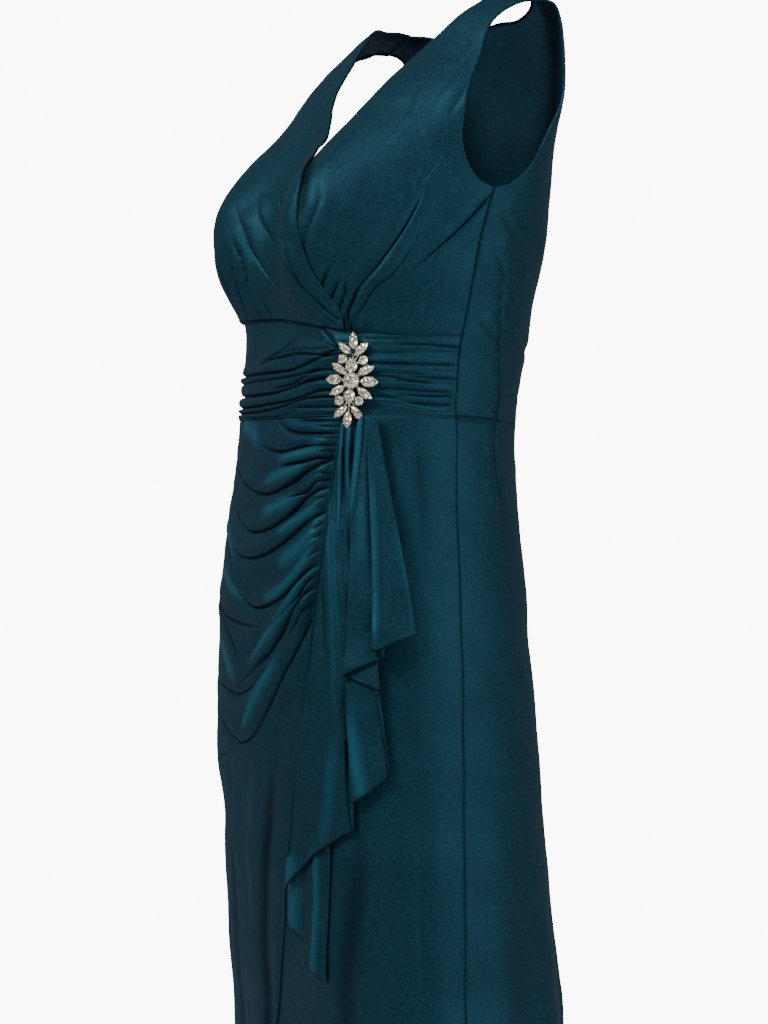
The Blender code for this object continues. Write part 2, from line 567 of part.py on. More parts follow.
def brooch_setting(material, frame):
    bm = bmesh.new()
    bmesh.ops.create_cone(bm, cap_ends=True, segments=40, radius1=1.0, radius2=1.0, depth=PLATE)
    for vertex in bm.verts:
        angle = math.atan2(vertex.co.y, vertex.co.x)
        across = abs(math.cos(angle) / BROOCH_HALF_WIDTH) ** BROOCH_POINTEDNESS
        up = abs(math.sin(angle) / BROOCH_HALF_HEIGHT) ** BROOCH_POINTEDNESS
        radius = (across + up) ** (-1 / BROOCH_POINTEDNESS)
        vertex.co.x, vertex.co.y = radius * math.cos(angle), radius * math.sin(angle)
        vertex.co.z += PLATE / 2
    bm.transform(frame)
    return add_solid("brooch_setting", bm, material)


def stone_outline(shape, angle):
    """Half length and half width of a stone's outline at an angle, as shares."""
    across, up = math.cos(angle), math.sin(angle)
    if shape == "marquise":
        up = up * math.sqrt(abs(up))
    if shape == "pear":
        up = up * (1 - 0.35 * across)
    return across, up


def stone(label, row, material, frame):
    shape, across, up, length, width, turn = (row[name] for name in STONE_COLUMNS)
    bm = bmesh.new()
    height = STONE_HEIGHT * width * STONE_UNIT
    bmesh.ops.create_cone(bm, cap_ends=True, segments=STONE_SIDES, radius1=1.0, radius2=STONE_TABLE, depth=height)
    for vertex in bm.verts:
        size = math.hypot(vertex.co.x, vertex.co.y)
        x, y = stone_outline(shape, math.atan2(vertex.co.y, vertex.co.x))
        vertex.co.x = size * x * length / 2 * STONE_UNIT
        vertex.co.y = size * y * width / 2 * STONE_UNIT
        vertex.co.z += height / 2 + PLATE + SEAM
    place = Matrix.Translation((across * STONE_UNIT, up * STONE_UNIT, 0.0))
    bm.transform(frame @ place @ Matrix.Rotation(math.radians(turn), 4, "Z"))
    return add_solid(label, bm, material)


def finish(name, colour, roughness, metallic=0.0):
    material = bpy.data.materials.new(name)
    material.use_nodes = True
    shader = material.node_tree.nodes["Principled BSDF"]
    shader.inputs["Base Color"].default_value = (*colour, 1.0)
    shader.inputs["Roughness"].default_value = roughness
    shader.inputs["Metallic"].default_value = metallic
    material.diffuse_color = (*colour, 1.0)
    return material


for old in list(bpy.data.objects):
    bpy.data.objects.remove(old, do_unlink=True)
COLLECTION = bpy.data.collections.new("draped_midi_dress")
bpy.context.scene.collection.children.link(COLLECTION)

TEAL = (0.006, 0.046, 0.075)
for build in (bodice_front_right, bodice_front_left, bodice_back, midriff_right, midriff_left,
              skirt_drape_right, skirt_front_left, skirt_back, cascade):
    build(finish(build.__name__ + "_jersey", TEAL, 0.7))
FRAME = brooch_frame()
brooch_setting(finish("setting_silver", (0.72, 0.70, 0.66), 0.25, 1.0), FRAME)
for number, values in enumerate(STONES, start=1):
    node = "stone_{:02d}".format(number)
    crystal = finish(node + "_crystal", (0.80, 0.76, 0.66), 0.08)
    stone(node, dict(zip(STONE_COLUMNS, values)), crystal, FRAME)
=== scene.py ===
"""Looks for the draped midi dress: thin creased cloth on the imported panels, and the stone brooch.

Metres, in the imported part's frame. Every panel is a thin shell on the same general figure as its solid.
A place on the figure is an angle round the body (degrees: 0 centre front, 90 the wearer's left side,
180 centre back) and a tape reading, the distance measured down the body from the shoulder line.
"""
import math

import bmesh
import bpy
import numpy as np
from mathutils import Matrix, Vector


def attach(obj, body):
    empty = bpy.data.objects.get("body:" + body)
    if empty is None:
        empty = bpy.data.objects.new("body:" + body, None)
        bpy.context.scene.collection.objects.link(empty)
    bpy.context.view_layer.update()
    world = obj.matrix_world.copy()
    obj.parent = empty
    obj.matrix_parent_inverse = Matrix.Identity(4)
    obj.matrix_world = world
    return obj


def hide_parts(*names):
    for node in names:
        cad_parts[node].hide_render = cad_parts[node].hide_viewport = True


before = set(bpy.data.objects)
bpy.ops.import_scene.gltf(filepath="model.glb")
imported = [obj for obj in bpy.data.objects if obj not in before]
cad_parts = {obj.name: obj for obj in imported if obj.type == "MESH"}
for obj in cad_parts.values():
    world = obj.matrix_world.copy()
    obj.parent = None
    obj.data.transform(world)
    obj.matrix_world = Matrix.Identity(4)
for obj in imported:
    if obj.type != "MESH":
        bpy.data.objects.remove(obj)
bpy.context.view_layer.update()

# ---- cloth
WALL = 0.0016                # the solids' wall: the shells' outer face lies this far off the figure
CLOTH = 0.0008               # thickness of the shells
TURNED_IN, TURNED_BEND = 0.0022, 0.3     # how far a panel's edge goes in, and the share of it at the bend
SEAM = 0.0003                # gap between two panels at a seam
HALF_SEAM = SEAM / 2
HALF_SEAM_ANGLE = 0.07       # half a seam's gap round the body, in degrees
WRAP_GAP = 0.0014            # air between the two fronts where they cross over the bust
WRAP_RISE = (18, 7)          # degrees short of the lower front's edge over which the upper one rises
DEGREE = 0.0026              # metres round the body for each degree, on average
MM = 0.001
# waves of the worn cloth: how many, longest, shortest, height, in metres
UNEVEN_SEED, WHOLE_TURN = 7, 6.3
UNEVEN = ((10, 0.160, 0.060, 0.0008), (12, 0.045, 0.018, 0.00022))

# ---- the general figure: sections across the body, read down it with a tape
SECTION_COLUMNS = ("tape", "level", "half", "side", "front", "back", "square")
SECTIONS = (
    (0.000, 0.000, 0.170, 0.000, 0.000, 0.000, 2.2),
    (0.025, -0.004, 0.170, 0.000, -0.026, 0.019, 2.2),
    (0.050, -0.019, 0.170, -0.001, -0.049, 0.030, 2.2),
    (0.080, -0.047, 0.168, -0.004, -0.071, 0.039, 2.2),
    (0.120, -0.088, 0.163, -0.012, -0.110, 0.046, 2.2),
    (0.160, -0.126, 0.158, -0.027, -0.137, 0.045, 2.2),
    (0.210, -0.174, 0.152, -0.044, -0.163, 0.050, 2.2),
    (0.250, -0.213, 0.149, -0.055, -0.174, 0.049, 2.2),
    (0.285, -0.247, 0.146, -0.061, -0.181, 0.044, 2.2),
    (0.325, -0.285, 0.142, -0.067, -0.1815, 0.0365, 2.2),
    (0.375, -0.331, 0.138, -0.076, -0.1925, 0.0285, 2.2),
    (0.425, -0.377, 0.138, -0.084, -0.1985, 0.0225, 2.2),
    (0.485, -0.434, 0.146, -0.090, -0.201, 0.021, 2.2),
    (0.555, -0.504, 0.158, -0.094, -0.204, 0.023, 2.3),
    (0.635, -0.584, 0.167, -0.096, -0.205, 0.029, 2.3),
    (0.725, -0.674, 0.171, -0.097, -0.204, 0.037, 2.3),
    (0.825, -0.774, 0.174, -0.098, -0.197, 0.046, 2.3),
    (0.955, -0.904, 0.178, -0.099, -0.183, 0.058, 2.3),
    (1.085, -1.034, 0.183, -0.100, -0.170, 0.069, 2.3),
    (1.220, -1.169, 0.190, -0.101, -0.163, 0.079, 2.3),
)
SHOULDER_SLOPE = 0.28
SHOULDER_REST = 0.100
SHOULDER_FADE = (-0.15, -0.02)
RIGHT_DROP, RIGHT_DROP_FADE, RIGHT_DROP_ACROSS = 0.020, -0.045, 0.06
RIGHT_CHEST, RIGHT_CHEST_LEVEL, RIGHT_CHEST_TALL = 0.0075, -0.066, 0.030
RIGHT_CHEST_ACROSS, RIGHT_CHEST_FRONT = (0.01, 0.07), 0.5
# how far the side seams stand off SIDE above and below the waistband, and what the skirt adds to that
SEAM_SWING, SWING_CHANGE, SWING_SPREAD = (-3.0, 0.5), (0.335, 0.42), 20.0
SKIRT_SWING, SKIRT_SWING_CHANGE = 2.0, (0.41, 0.44)
BUST_X, BUST_LEVEL, BUST_REACH = 0.078, -0.200, 0.050
BUST_WIDE, BUST_UP, BUST_DOWN, BUST_FRONT = 0.052, 0.090, 0.075, 0.6
WAIST, WAIST_DIP = 0.4215, 0.005
HEM = 1.170
SIDE = 88.0
SIDE_TOP, SIDE_LOW = 0.213, 0.346    # tapes of the bodice's side seam

# ---- edges and seams, as angle and tape
NECK_EDGE = ((34, 0.000), (34, 0.026), (33, 0.044), (30, 0.060), (27, 0.078), (25.0, 0.100),
             (24.0, 0.134), (21.5, 0.160), (10, 0.200))
UNDER_EDGE = ((10, 0.200), (-10, 0.248), (-30, 0.300))
OVER_NECK = ((21, 0.192), (12, 0.176), (3.5, 0.158), (-4, 0.136), (-12, 0.096), (-18.5, 0.060),
             (-24.5, 0.040), (-30, 0.020), (-34, 0.000))
OVERLAP = ((39.5, 0.320), (37, 0.305), (35, 0.290), (33.5, 0.268), (32, 0.248), (30.5, 0.228), (28, 0.210),
           (21, 0.192))
ARMHOLE = ((54, 0.000), (51.5, 0.018), (47, 0.038), (45, 0.056), (46, 0.072), (49.5, 0.090), (54, 0.112),
           (60, 0.140), (67, 0.172), (75, 0.195), (82, 0.208), (88, 0.213))
BACK_ARMHOLE = ((88, 0.213), (96, 0.208), (104, 0.193), (113, 0.160), (119, 0.120), (123, 0.080),
                (126, 0.040), (126, 0.000))
BACK_NECK = ((146, 0.000), (149, 0.023), (155, 0.046), (166, 0.064), (180, 0.073))
UNDERBUST = ((-90, 0.346), (-60, 0.336), (-34, 0.325), (-4, 0.326), (24, 0.332), (40, 0.3395), (50, 0.344),
             (92, 0.346))
DRAPE_SEAM = ((0.420, 44.0), (0.460, 40.9), (0.500, 38.2), (0.540, 35.4), (0.580, 32.2), (0.620, 29.8),
              (0.660, 27.8), (0.700, 25.0), (0.740, 21.6), (0.780, 18.0), (0.820, 14.0), (0.900, 6.0),
              (0.980, -3.0), (1.060, -10.0), (1.180, -17.0))
MIDRIFF_JOIN = 45.0
FLARE_TOP = 0.62
# flutes of the skirt: angle, height and spread
FLARES = ((-70, 0.006, 11), (-38, 0.005, 9), (-10, 0.004, 8), (28, 0.006, 9), (60, 0.005, 9), (104, 0.011, 9),
          (128, 0.016, 9), (153, 0.015, 10), (180, 0.016, 10), (207, 0.015, 10), (232, 0.016, 9),
          (256, 0.011, 9))
# where the rows of the draped front leave the seam, hang lowest and reach the right hip
SWAG_COLUMNS = ("seam", "low", "hip")
SWAGS = (
    (0.4218, 0.4218, 0.4218),
    (0.436, 0.434, 0.429),
    (0.452, 0.462, 0.436),
    (0.468, 0.494, 0.443),
    (0.481, 0.511, 0.450),
    (0.494, 0.529, 0.458),
    (0.509, 0.552, 0.469),
    (0.527, 0.588, 0.486),
    (0.548, 0.614, 0.516),
    (0.566, 0.652, 0.548),
    (0.584, 0.674, 0.582),
    (0.602, 0.698, 0.618),
    (0.622, 0.724, 0.655),
    (0.648, 0.756, 0.696),
)
SWAG_LOW_ANGLE, SWAG_HIP_ANGLE, SWAG_SEAM_ANGLE, SWAG_CURVE = 3.0, -60.0, 25, 1.6

# ---- creases. A row is a line of places, its folds, depth and gape in millimetres, and its fades.
# folds are rise and width of the fold on the line's left and then on its right, as seen from outside, or of
# both at once; depth and gape are the crease's own, and with a negative depth it is a ridge that catches the
# light; the depth also sets a crease's painted shade and a ridge's painted highlight in the cloth's colour;
# fades are shares of the line over which it comes and goes
CREASE_STEPS = 6                     # straight pieces of a line for each of its places
FOLD_WIDTHS = 3.2                    # in widths, how far a fold is followed
DARKEST_DEPTH = 1.4                  # of a crease, from which its painted shade is full; a ridge's painted highlight is full from the same height
BUST_RIGHT = (
    (((-23, .206), (-20, .222), (-14, .246), (-10, .265), (-3, .284), (11, .302), (20, .315), (28, .328),
     (37, .341)), (1.2, 6, 0.9, 9), 1.9, 0.9, (.3, 0)),
    (((-15, .200), (-13, .216), (-8, .239), (2, .260), (17, .282), (24, .298), (28, .311), (33, .325),
     (38, .337)), (1.3, 6, 0.9, 8), 2.0, 0.9, (.3, 0)),
    (((-6, .198), (-3, .214), (5, .237), (19, .255), (26, .272), (29, .293), (33, .310), (39, .330)),
     (1.2, 5, 0.9, 7), 1.9, 0.9, (.3, 0)),
    (((22, .250), (27, .264), (29, .281), (30, .296), (33, .310), (36, .324), (39, .331)), (1.2, 3, 1.2, 4),
     1.4, 0.8, (.3, 0)),
    (((-19, .240), (-18, .250), (-15, .267), (-13, .293), (-14, .318)), (1.4, 4, 1.2, 5), 1.8, 0.8, (.45, 0)),
    (((-21, .254), (-20, .266), (-19, .281), (-19, .304), (-20, .324)), (1.3, 4, 1.1, 4), 1.8, 0.8, (.45, 0)),
    (((-26, .262), (-25, .289), (-26, .310), (-25, .325)), (1.3, 4, 1.1, 4), 1.8, 0.8, (.45, 0)),
    (((-35, .268), (-35, .296), (-33, .326)), (1.2, 5, 1.1, 5), 1.6, 0.9, (.5, 0)),
    (((-44, .274), (-43, .300), (-41, .330)), (1.2, 5, 1.1, 5), 1.5, 0.9, (.5, 0)),
    (((-53, .290), (-52, .310), (-50, .333)), (1.1, 5, 1.0, 5), 1.4, 0.9, (.5, 0)),
    (((-10, .304), (-6, .313), (-2, .327)), (1.0, 4), 1.5, 0.8, (.5, 0)),
    (((-14, .308), (-11, .317), (-9, .325)), (0.9, 3, 0.8, 3), 1.3, 0.8, (.5, 0)),
    (((2, .308), (8, .318), (14, .329)), (0.7, 4, 0.8, 5), 0.8, 1.0, (.6, 0)),
    (((-26, .070), (-22, .110), (-18, .150)), (0.6, 6), 0.4, 1.2, (.5, .5)),
)
BUST_LEFT = (
    # the first row is a wide shallow hollow beside the right front's edge, whose painted shade stands in for
    # the shadow the right front casts there
    (((16, .178), (27, .200), (31, .220), (33, .245), (34, .262)), (0.0, 9), 1.1, 6.5, (.25, .35)),
    (((34, .190), (34, .207), (37, .226), (36, .247), (34, .264), (34, .284)), (0.9, 6, 1.1, 9), 1.0, 1.2,
     (.45, .12)),
    (((41, .282), (38, .293), (35, .303)), (1.2, 4, 1.4, 4), 1.8, 1.4, (.35, 0)),
    (((43, .292), (41, .300), (37, .313)), (1.2, 4), 1.8, 1.4, (.4, 0)),
    (((45, .290), (43, .305), (39, .322)), (1.0, 4, 1.2, 4), 1.6, 1.4, (.4, 0)),
    (((48, .296), (45, .312), (41, .328)), (0.8, 4, 1.0, 4), 1.3, 1.4, (.4, 0)),
    (((62, .208), (62, .222), (61, .240), (59, .257), (54, .282), (46, .307), (41, .330), (40, .340)),
     (1.4, 7, 2.2, 8), 2.2, 1.1, (.25, 0)),
    (((64, .250), (63, .264), (60, .283), (57, .293), (52, .303), (48, .317), (44, .332), (43, .341)),
     (0.7, 5, 1.2, 6), 1.2, 1.1, (.4, 0)),
    (((87, .216), (85, .221), (78, .246), (71, .267), (65, .284), (58, .300)), (0.9, 7, 1.5, 8), 1.7, 1.0,
     (.15, .45)),
    (((62, .180), (62, .192), (61, .208), (62, .218)), (0.8, 4), 0.7, 0.9, (.4, .3)),
    (((53, .100), (55, .125), (57, .155)), (1.2, 8), 0.4, 1.4, (.5, .5)),
    (((34, .080), (39, .120), (43, .150), (44, .182)), (0.6, 5), 0.3, 1.2, (.5, .5)),
    (((44, .070), (47, .110), (50, .150)), (0.5, 5), 0.3, 1.2, (.5, .5)),
    (((29, .150), (31, .185), (33, .215)), (0.9, 6), 0.5, 1.2, (.5, .5)),
)
DRAPE = (
    # the first rows are broad ridges along the swags; besides the light they catch, their negative depth
    # paints a highlight on them
    (((9, .468), (14, .464), (24, .457), (33, .450), (39, .442)), (0.4, 9), -1.6, 5.0, (.4, .2)),
    (((2, .483), (6, .480), (16, .474), (24, .471), (32, .464)), (0.4, 9), -2.4, 5.5, (.3, .3)),
    (((1, .512), (6, .508), (13, .504), (23, .497), (29, .491)), (0.4, 9), -2.6, 5.5, (.3, .3)),
    (((12, .527), (18, .523), (23, .518), (32, .508), (36, .504)), (0.4, 9), -1.6, 4.5, (.3, .2)),
    (((12, .556), (18, .550), (25, .540), (32, .528), (36, .522)), (0.4, 9), -2.4, 6.5, (.3, .2)),
    (((4, .590), (8, .584), (17, .575), (24, .562), (30, .544), (33, .536)), (0.4, 9), -2.2, 5.0, (.3, .2)),
    (((-5, .644), (-1, .637), (5, .623), (13, .608), (20, .593), (27, .573), (30, .559)), (0.4, 9), -3.2, 5.0,
     (.2, .2)),
    (((-9, .702), (-6, .692), (1, .670), (7, .655), (13, .640), (19, .618)), (0.4, 9), -3.4, 6.0, (.15, .4)),
    (((-24, .424), (-14, .430), (-8, .434), (-1, .447), (3, .456)), (0.4, 9), -1.6, 8.0, (.3, .4)),
    (((-39, .550), (-26, .562), (-14, .577), (-4, .588)), (0.4, 9), -1.8, 5.0, (.3, .3)),
    (((-40, .606), (-29, .622), (-16, .647), (-8, .662)), (0.4, 9), -1.6, 6.0, (.3, .3)),
    (((-44, .500), (-30, .520), (-18, .538), (-8, .552)), (0.4, 9), -1.4, 6.0, (.3, .4)),
    (((43, .4265), (36, .4262), (28, .4258), (20, .4245)), (1.2, 3), 1.6, 0.9, (0, .5)),
    (((43, .432), (36, .4315), (30, .4305)), (1.0, 3), 1.3, 0.9, (0, .6)),
    (((41, .4535), (37, .4545), (33, .4565)), (1.0, 3), 1.6, 0.9, (0, .5)),
    (((38, .4955), (34, .4965), (31, .4985)), (1.0, 3), 1.3, 0.9, (0, .5)),
    (((43, .438), (32, .438), (24, .437), (18, .434), (12, .425), (10, .418)), (2.0, 5, 2.4, 5), 2.0, 1.4,
     (0, .3)),
    (((43, .442), (37, .442), (32, .440)), (1.2, 3, 1.0, 3), 1.4, 1.0, (0, .6)),
    (((42, .449), (35, .449), (28, .450), (16, .454), (4, .450), (-6, .443)), (2.4, 7, 2.6, 6), 2.0, 1.5,
     (0, .35)),
    (((42, .459), (34, .461), (28, .464), (20, .466), (12, .467)), (3.0, 7, 3.4, 6), 3.0, 1.5, (0, .3)),
    (((42, .460), (35, .466), (29, .473), (24, .480), (17, .486), (9, .491), (1, .492), (-8, .486),
     (-18, .476), (-30, .461), (-45, .448)), (2.6, 9, 4.0, 6), 2.4, 1.7, (0, .25)),
    (((40, .474), (36, .474), (32, .474)), (1.0, 3), 1.4, 1.0, (0, .6)),
    (((41, .479), (34, .482), (29, .491), (23, .495), (17, .498)), (1.8, 5, 2.2, 4), 1.8, 1.2, (0, .35)),
    (((41, .487), (35, .488), (30, .494), (25, .504), (17, .514), (10, .521), (2, .525), (-6, .524),
     (-12, .517), (-20, .504), (-34, .486), (-50, .470)), (2.8, 10, 3.6, 6), 2.3, 1.4, (0, .25)),
    (((39, .506), (32, .512), (27, .520), (22, .528), (14, .538), (6, .545), (-2, .548), (-9, .547),
     (-17, .540), (-24, .527), (-36, .507), (-52, .488)), (3.0, 11, 3.6, 6), 2.3, 1.4, (0, .25)),
    (((39, .515), (34, .520), (30, .527)), (1.2, 3, 1.0, 3), 1.4, 1.0, (0, .6)),
    (((38, .525), (32, .530), (28, .538)), (1.4, 4, 1.2, 3), 1.8, 1.1, (0, .5)),
    (((37, .536), (32, .543), (27, .552)), (1.2, 4, 1.0, 3), 1.4, 1.0, (0, .5)),
    (((36, .551), (33, .553), (27, .561), (20, .576), (13, .585), (6, .590), (-1, .591), (-6, .586),
     (-11, .578), (-16, .560), (-24, .540), (-36, .524), (-54, .508)), (3.0, 12, 3.6, 7), 2.3, 1.4, (0, .25)),
    (((35, .560), (32, .563), (27, .577), (22, .589), (16, .601), (9, .613)), (2.0, 6, 2.6, 5), 2.8, 1.4,
     (0, .3)),
    (((35, .566), (29, .577), (24, .590), (20, .604), (15, .616), (7, .633), (0, .644), (-6, .655),
     (-12, .660)), (3.2, 8, 3.6, 6), 3.2, 1.6, (0, .3)),
    (((34, .578), (28, .592), (24, .606), (19, .620)), (1.4, 4), 1.6, 1.2, (0, .4)),
    (((34, .590), (31, .596), (25, .621), (20, .637), (14, .658), (6, .684), (-2, .704), (-9, .711),
     (-19, .702), (-37, .676), (-52, .652)), (3.0, 9, 3.6, 7), 2.7, 1.4, (0, .3)),
    (((-48, .578), (-31, .590), (-20, .600), (-11, .605), (-3, .607), (6, .606), (13, .597)),
     (2.4, 8, 3.0, 6), 2.0, 1.6, (.3, .4)),
    (((-48, .575), (-28, .595), (-20, .612), (-14, .629), (-8, .648), (-6, .664)), (2.0, 6, 2.2, 7), 2.0, 1.5,
     (.3, .35)),
    (((-50, .645), (-39, .655), (-19, .664), (-10, .668), (-1, .660), (8, .642), (16, .624)),
     (1.8, 8, 2.6, 6), 1.6, 1.6, (.3, .4)),
    (((-56, .722), (-41, .726), (-13, .717), (-3, .710)), (1.4, 12, 2.2, 8), 1.0, 2.2, (.3, .5)),
    (((32, .604), (30, .640), (27, .690), (22, .760)), (1.6, 9, 1.2, 10), 1.0, 2.2, (.1, .6)),
    # the last rows are broad soft hollows and light bands of the lower drape: shallow in the cloth, their
    # dark is mostly painted shade and their light a painted highlight
    (((17, .690), (10, .740), (3, .800), (-2, .860), (-6, .960), (-8, 1.08)), (1.5, 22, 1.5, 18), 1.0, 9.0,
     (.25, .2)),
    (((2, .700), (-6, .760), (-10, .830), (-13, .900)), (0.5, 16), -0.4, 10.0, (.3, .4)),
    (((14, .800), (9, .870), (4, .960), (2, 1.06)), (0.5, 8), -0.7, 3.0, (.3, .4)),
    (((-24, .735), (-25, .830), (-27, .940), (-28, 1.08)), (1.0, 16), 0.8, 7.0, (.3, .3)),
)
WAIST_RIGHT = (
    (((-4, .365), (5, .362), (18, .358), (29, .358), (44, .357)), (0.8, 3, 0.9, 4), 0.9, 0.8, (.4, 0)),
    (((-12, .371), (-4, .367), (9, .365), (19, .362), (26, .363), (35, .365), (44, .362)), (1.4, 4, 1.2, 4),
     1.9, 0.9, (.3, 0)),
    (((-88, .380), (-60, .380), (-33, .380), (-5, .380), (7, .379), (17, .377), (25, .372), (31, .367),
     (37, .361), (44, .359)), (1.6, 4, 2.4, 3.5), 2.4, 0.9, (0, 0)),
    (((-70, .387), (-34, .388), (-2, .386), (14, .384), (23, .382), (29, .379), (44, .378)), (1.0, 4, 1.4, 3),
     1.6, 0.8, (.3, 0)),
    (((2, .396), (8, .394), (19, .390), (24, .385), (29, .379), (33, .376)), (1.2, 3), 1.6, 0.8, (.3, .2)),
    (((-88, .400), (-60, .400), (-33, .400), (-5, .400), (9, .398), (18, .394), (27, .388), (34, .386),
     (44, .385)), (1.6, 4, 2.6, 4), 2.4, 0.9, (0, 0)),
    (((-88, .409), (-60, .410), (-33, .411), (-8, .411), (6, .409), (19, .406), (26, .402), (31, .398),
     (38, .397), (44, .396)), (1.2, 3, 2.2, 3.5), 2.2, 0.8, (0, 0)),
    (((-70, .417), (-33, .4165), (-3, .416), (8, .414), (16, .411), (24, .406), (31, .404), (44, .404)),
     (1.0, 2.5, 2.0, 3), 2.4, 0.8, (.1, 0)),
    (((16, .4135), (27, .413), (44, .4135)), (0.8, 2, 1.4, 3), 1.2, 0.8, (.4, 0)),
    (((-12, .376), (-9, .373), (7, .359), (18, .346)), (0.9, 5, 0.9, 6), 1.1, 1.4, (.3, .3)),
    (((31, .338), (32, .341), (35, .348), (38, .355), (44, .360)), (1.4, 4, 1.2, 4), 1.8, 0.9, (.1, 0)),
    (((32, .350), (35, .354), (39, .358), (44, .362)), (0.8, 3, 1.0, 3), 1.2, 0.8, (.3, 0)),
)
# fine pleats of the left waistband: line and depth, of a shallow crease with painted shade or, where it is
# negative, a ridge with a painted highlight
WAIST_LEFT_RIDGE, WAIST_LEFT_RISE, WAIST_LEFT_WIDTHS = 0.35, 0.9, (2.4, 2.2)
WAIST_LEFT_GAPE, WAIST_LEFT_FADES = 0.8, (.2, .15)
WAIST_LEFT = (
    (((46, .3455), (55, .3465), (62, .346), (87, .345)), -0.7),
    (((46, .353), (55, .352), (61, .352)), -0.5),
    (((46, .349), (54, .350), (66, .349)), 0.5),
    (((46, .358), (61, .357), (71, .356), (78, .357)), -0.6),
    (((58, .355), (74, .3555), (78, .356), (88, .358)), 0.9),
    (((46, .362), (58, .363), (67, .362)), 0.6),
    (((46, .367), (62, .368), (72, .368), (80, .369), (88, .369)), -0.8),
    (((50, .3665), (65, .366), (84, .363), (88, .3625)), -0.5),
    (((46, .372), (56, .3725), (68, .3725)), 0.7),
    (((46, .3755), (53, .376), (62, .378), (74, .377), (79, .377), (88, .379)), -0.8),
    (((49, .3735), (62, .3735), (76, .3735), (88, .374)), 0.8),
    (((46, .382), (63, .382), (76, .383)), 0.6),
    (((46, .387), (54, .387), (58, .389), (63, .388)), -0.7),
    (((50, .3842), (58, .385), (61, .386), (66, .389), (70, .390), (77, .391)), 0.9),
    (((52, .3905), (66, .3915), (76, .393), (86, .394)), -0.7),
    (((66, .3855), (78, .386), (88, .387)), 0.8),
    (((46, .394), (52, .396), (60, .401), (68, .404), (76, .406), (88, .405)), -0.9),
    (((50, .3955), (62, .397), (76, .399), (88, .399)), 0.8),
    (((60, .4035), (70, .4035), (78, .4035), (88, .4025)), 0.8),
    (((46, .405), (51, .406), (62, .408), (66, .410), (75, .415), (88, .417)), -1.0),
    (((46, .402), (56, .4035), (64, .406)), 0.8),
    (((46, .409), (51, .409), (61, .412), (68, .415), (78, .418)), -0.7),
    (((62, .4100), (72, .4105), (80, .4115), (88, .4110)), 0.9),
)
# broad soft hollows and a light band on the plain front: shallow in the cloth, with painted shade in the
# hollows and a painted highlight along the band
PLAIN_FRONT = (
    (((48, .760), (46, .800), (41, .860), (36, .930), (32, 1.02)), (1.0, 24), 0.8, 12.0, (.3, .4)),
    (((72, .430), (73, .500), (74, .560)), (0.6, 14, 0.6, 10), 0.5, 7.0, (.3, .6)),
    (((63, .430), (66, .500), (70, .560)), (0.6, 14), -0.4, 10.0, (.4, .6)),
    (((50, .60), (49, .72), (46, .86), (42, 1.02)), (1.2, 14), 0.3, 3.0, (.5, .5)),
    (((70, .70), (69, .86), (68, 1.04)), (1.2, 16), 0.3, 3.0, (.5, .5)),
)
BACK_BODICE = (
    (((97, .250), (101, .300), (107, .350), (113, .395), (113, .4255)), (0.9, 6), 0.9, 1.2, (.4, 0)),
    (((-97, .250), (-101, .300), (-107, .350), (-113, .395), (-113, .4255)), (0.9, 6), 0.9, 1.2, (.4, 0)),
    (((90, .228), (99, .246), (110, .262)), (1.4, 7), 0.6, 2.2, (.2, .5)),
    (((90, .262), (98, .282), (107, .302)), (1.4, 7), 0.6, 2.2, (.2, .5)),
    (((90, .330), (100, .345), (116, .356)), (1.4, 7), 0.5, 2.2, (.2, .5)),
    (((-90, .240), (-100, .256), (-112, .268)), (1.4, 7), 0.6, 2.2, (.2, .5)),
    (((-90, .300), (-99, .318), (-112, .332)), (1.4, 7), 0.6, 2.2, (.2, .5)),
    (((132, .396), (158, .404), (186, .400), (214, .404)), (1.6, 8), 0.8, 2.5, (.4, .5)),
    (((146, .372), (176, .380), (206, .374)), (1.4, 9), 0.7, 2.5, (.4, .5)),
    (((124, .350), (146, .357), (170, .352)), (1.2, 8), 0.5, 2.5, (.4, .5)),
    (((192, .344), (212, .351), (236, .343)), (1.2, 8), 0.6, 2.5, (.5, .4)),
    (((126, .120), (136, .160), (147, .210)), (0.8, 9), 0.5, 3.0, (.4, .5)),
    (((235, .110), (226, .155), (213, .200)), (0.8, 9), 0.6, 3.0, (.4, .5)),
)
BACK_SKIRT = (
    (((113, .4265), (113, .450), (116, .500), (119, .545)), (0.8, 7), 0.9, 1.2, (0, .5)),
    (((247, .4265), (247, .450), (244, .500), (241, .545)), (0.8, 7), 0.9, 1.2, (0, .5)),
    (((122, .468), (150, .482), (176, .478)), (1.0, 9), 0.7, 3.0, (.4, .5)),
    (((186, .452), (212, .462), (240, .455)), (1.0, 9), 0.6, 3.0, (.5, .4)),
    (((139, .600), (142, .780), (144, 1.040)), (0.8, 18), 0.9, 8.0, (.4, .3)),
    (((166, .680), (167, .850), (168, 1.100)), (0.8, 18), 0.7, 7.0, (.4, .2)),
    (((194, .620), (192, .840), (190, 1.080)), (0.8, 18), 0.9, 8.0, (.4, .3)),
    (((219, .640), (221, .820), (224, 1.060)), (0.8, 18), 0.8, 7.0, (.4, .3)),
    (((241, .580), (244, .780), (248, .980)), (0.8, 16), 0.6, 6.0, (.4, .4)),
)


def table(columns, rows):
    """A table as one array a column, by name."""
    return {name: np.array(values) for name, values in zip(columns, zip(*rows))}


def smooth(value, low, high):
    """0 up to low and 1 from high on, with a soft rise between them."""
    share = np.clip((value - low) / (high - low), 0.0, 1.0)
    return share * share * (3 - 2 * share)


def blend(first, second, share):
    return first * (1 - share) + second * share


def paired(angle, tape):
    """Places from angles and tapes, of which either may be the same for all."""
    return np.stack(np.broadcast_arrays(angle, tape), axis=-1)


def read(places, at):
    """A smooth curve through (place, value) rows, read at the places given."""
    x, y = np.array(places, dtype=float).T
    return hermite(at, x, y)


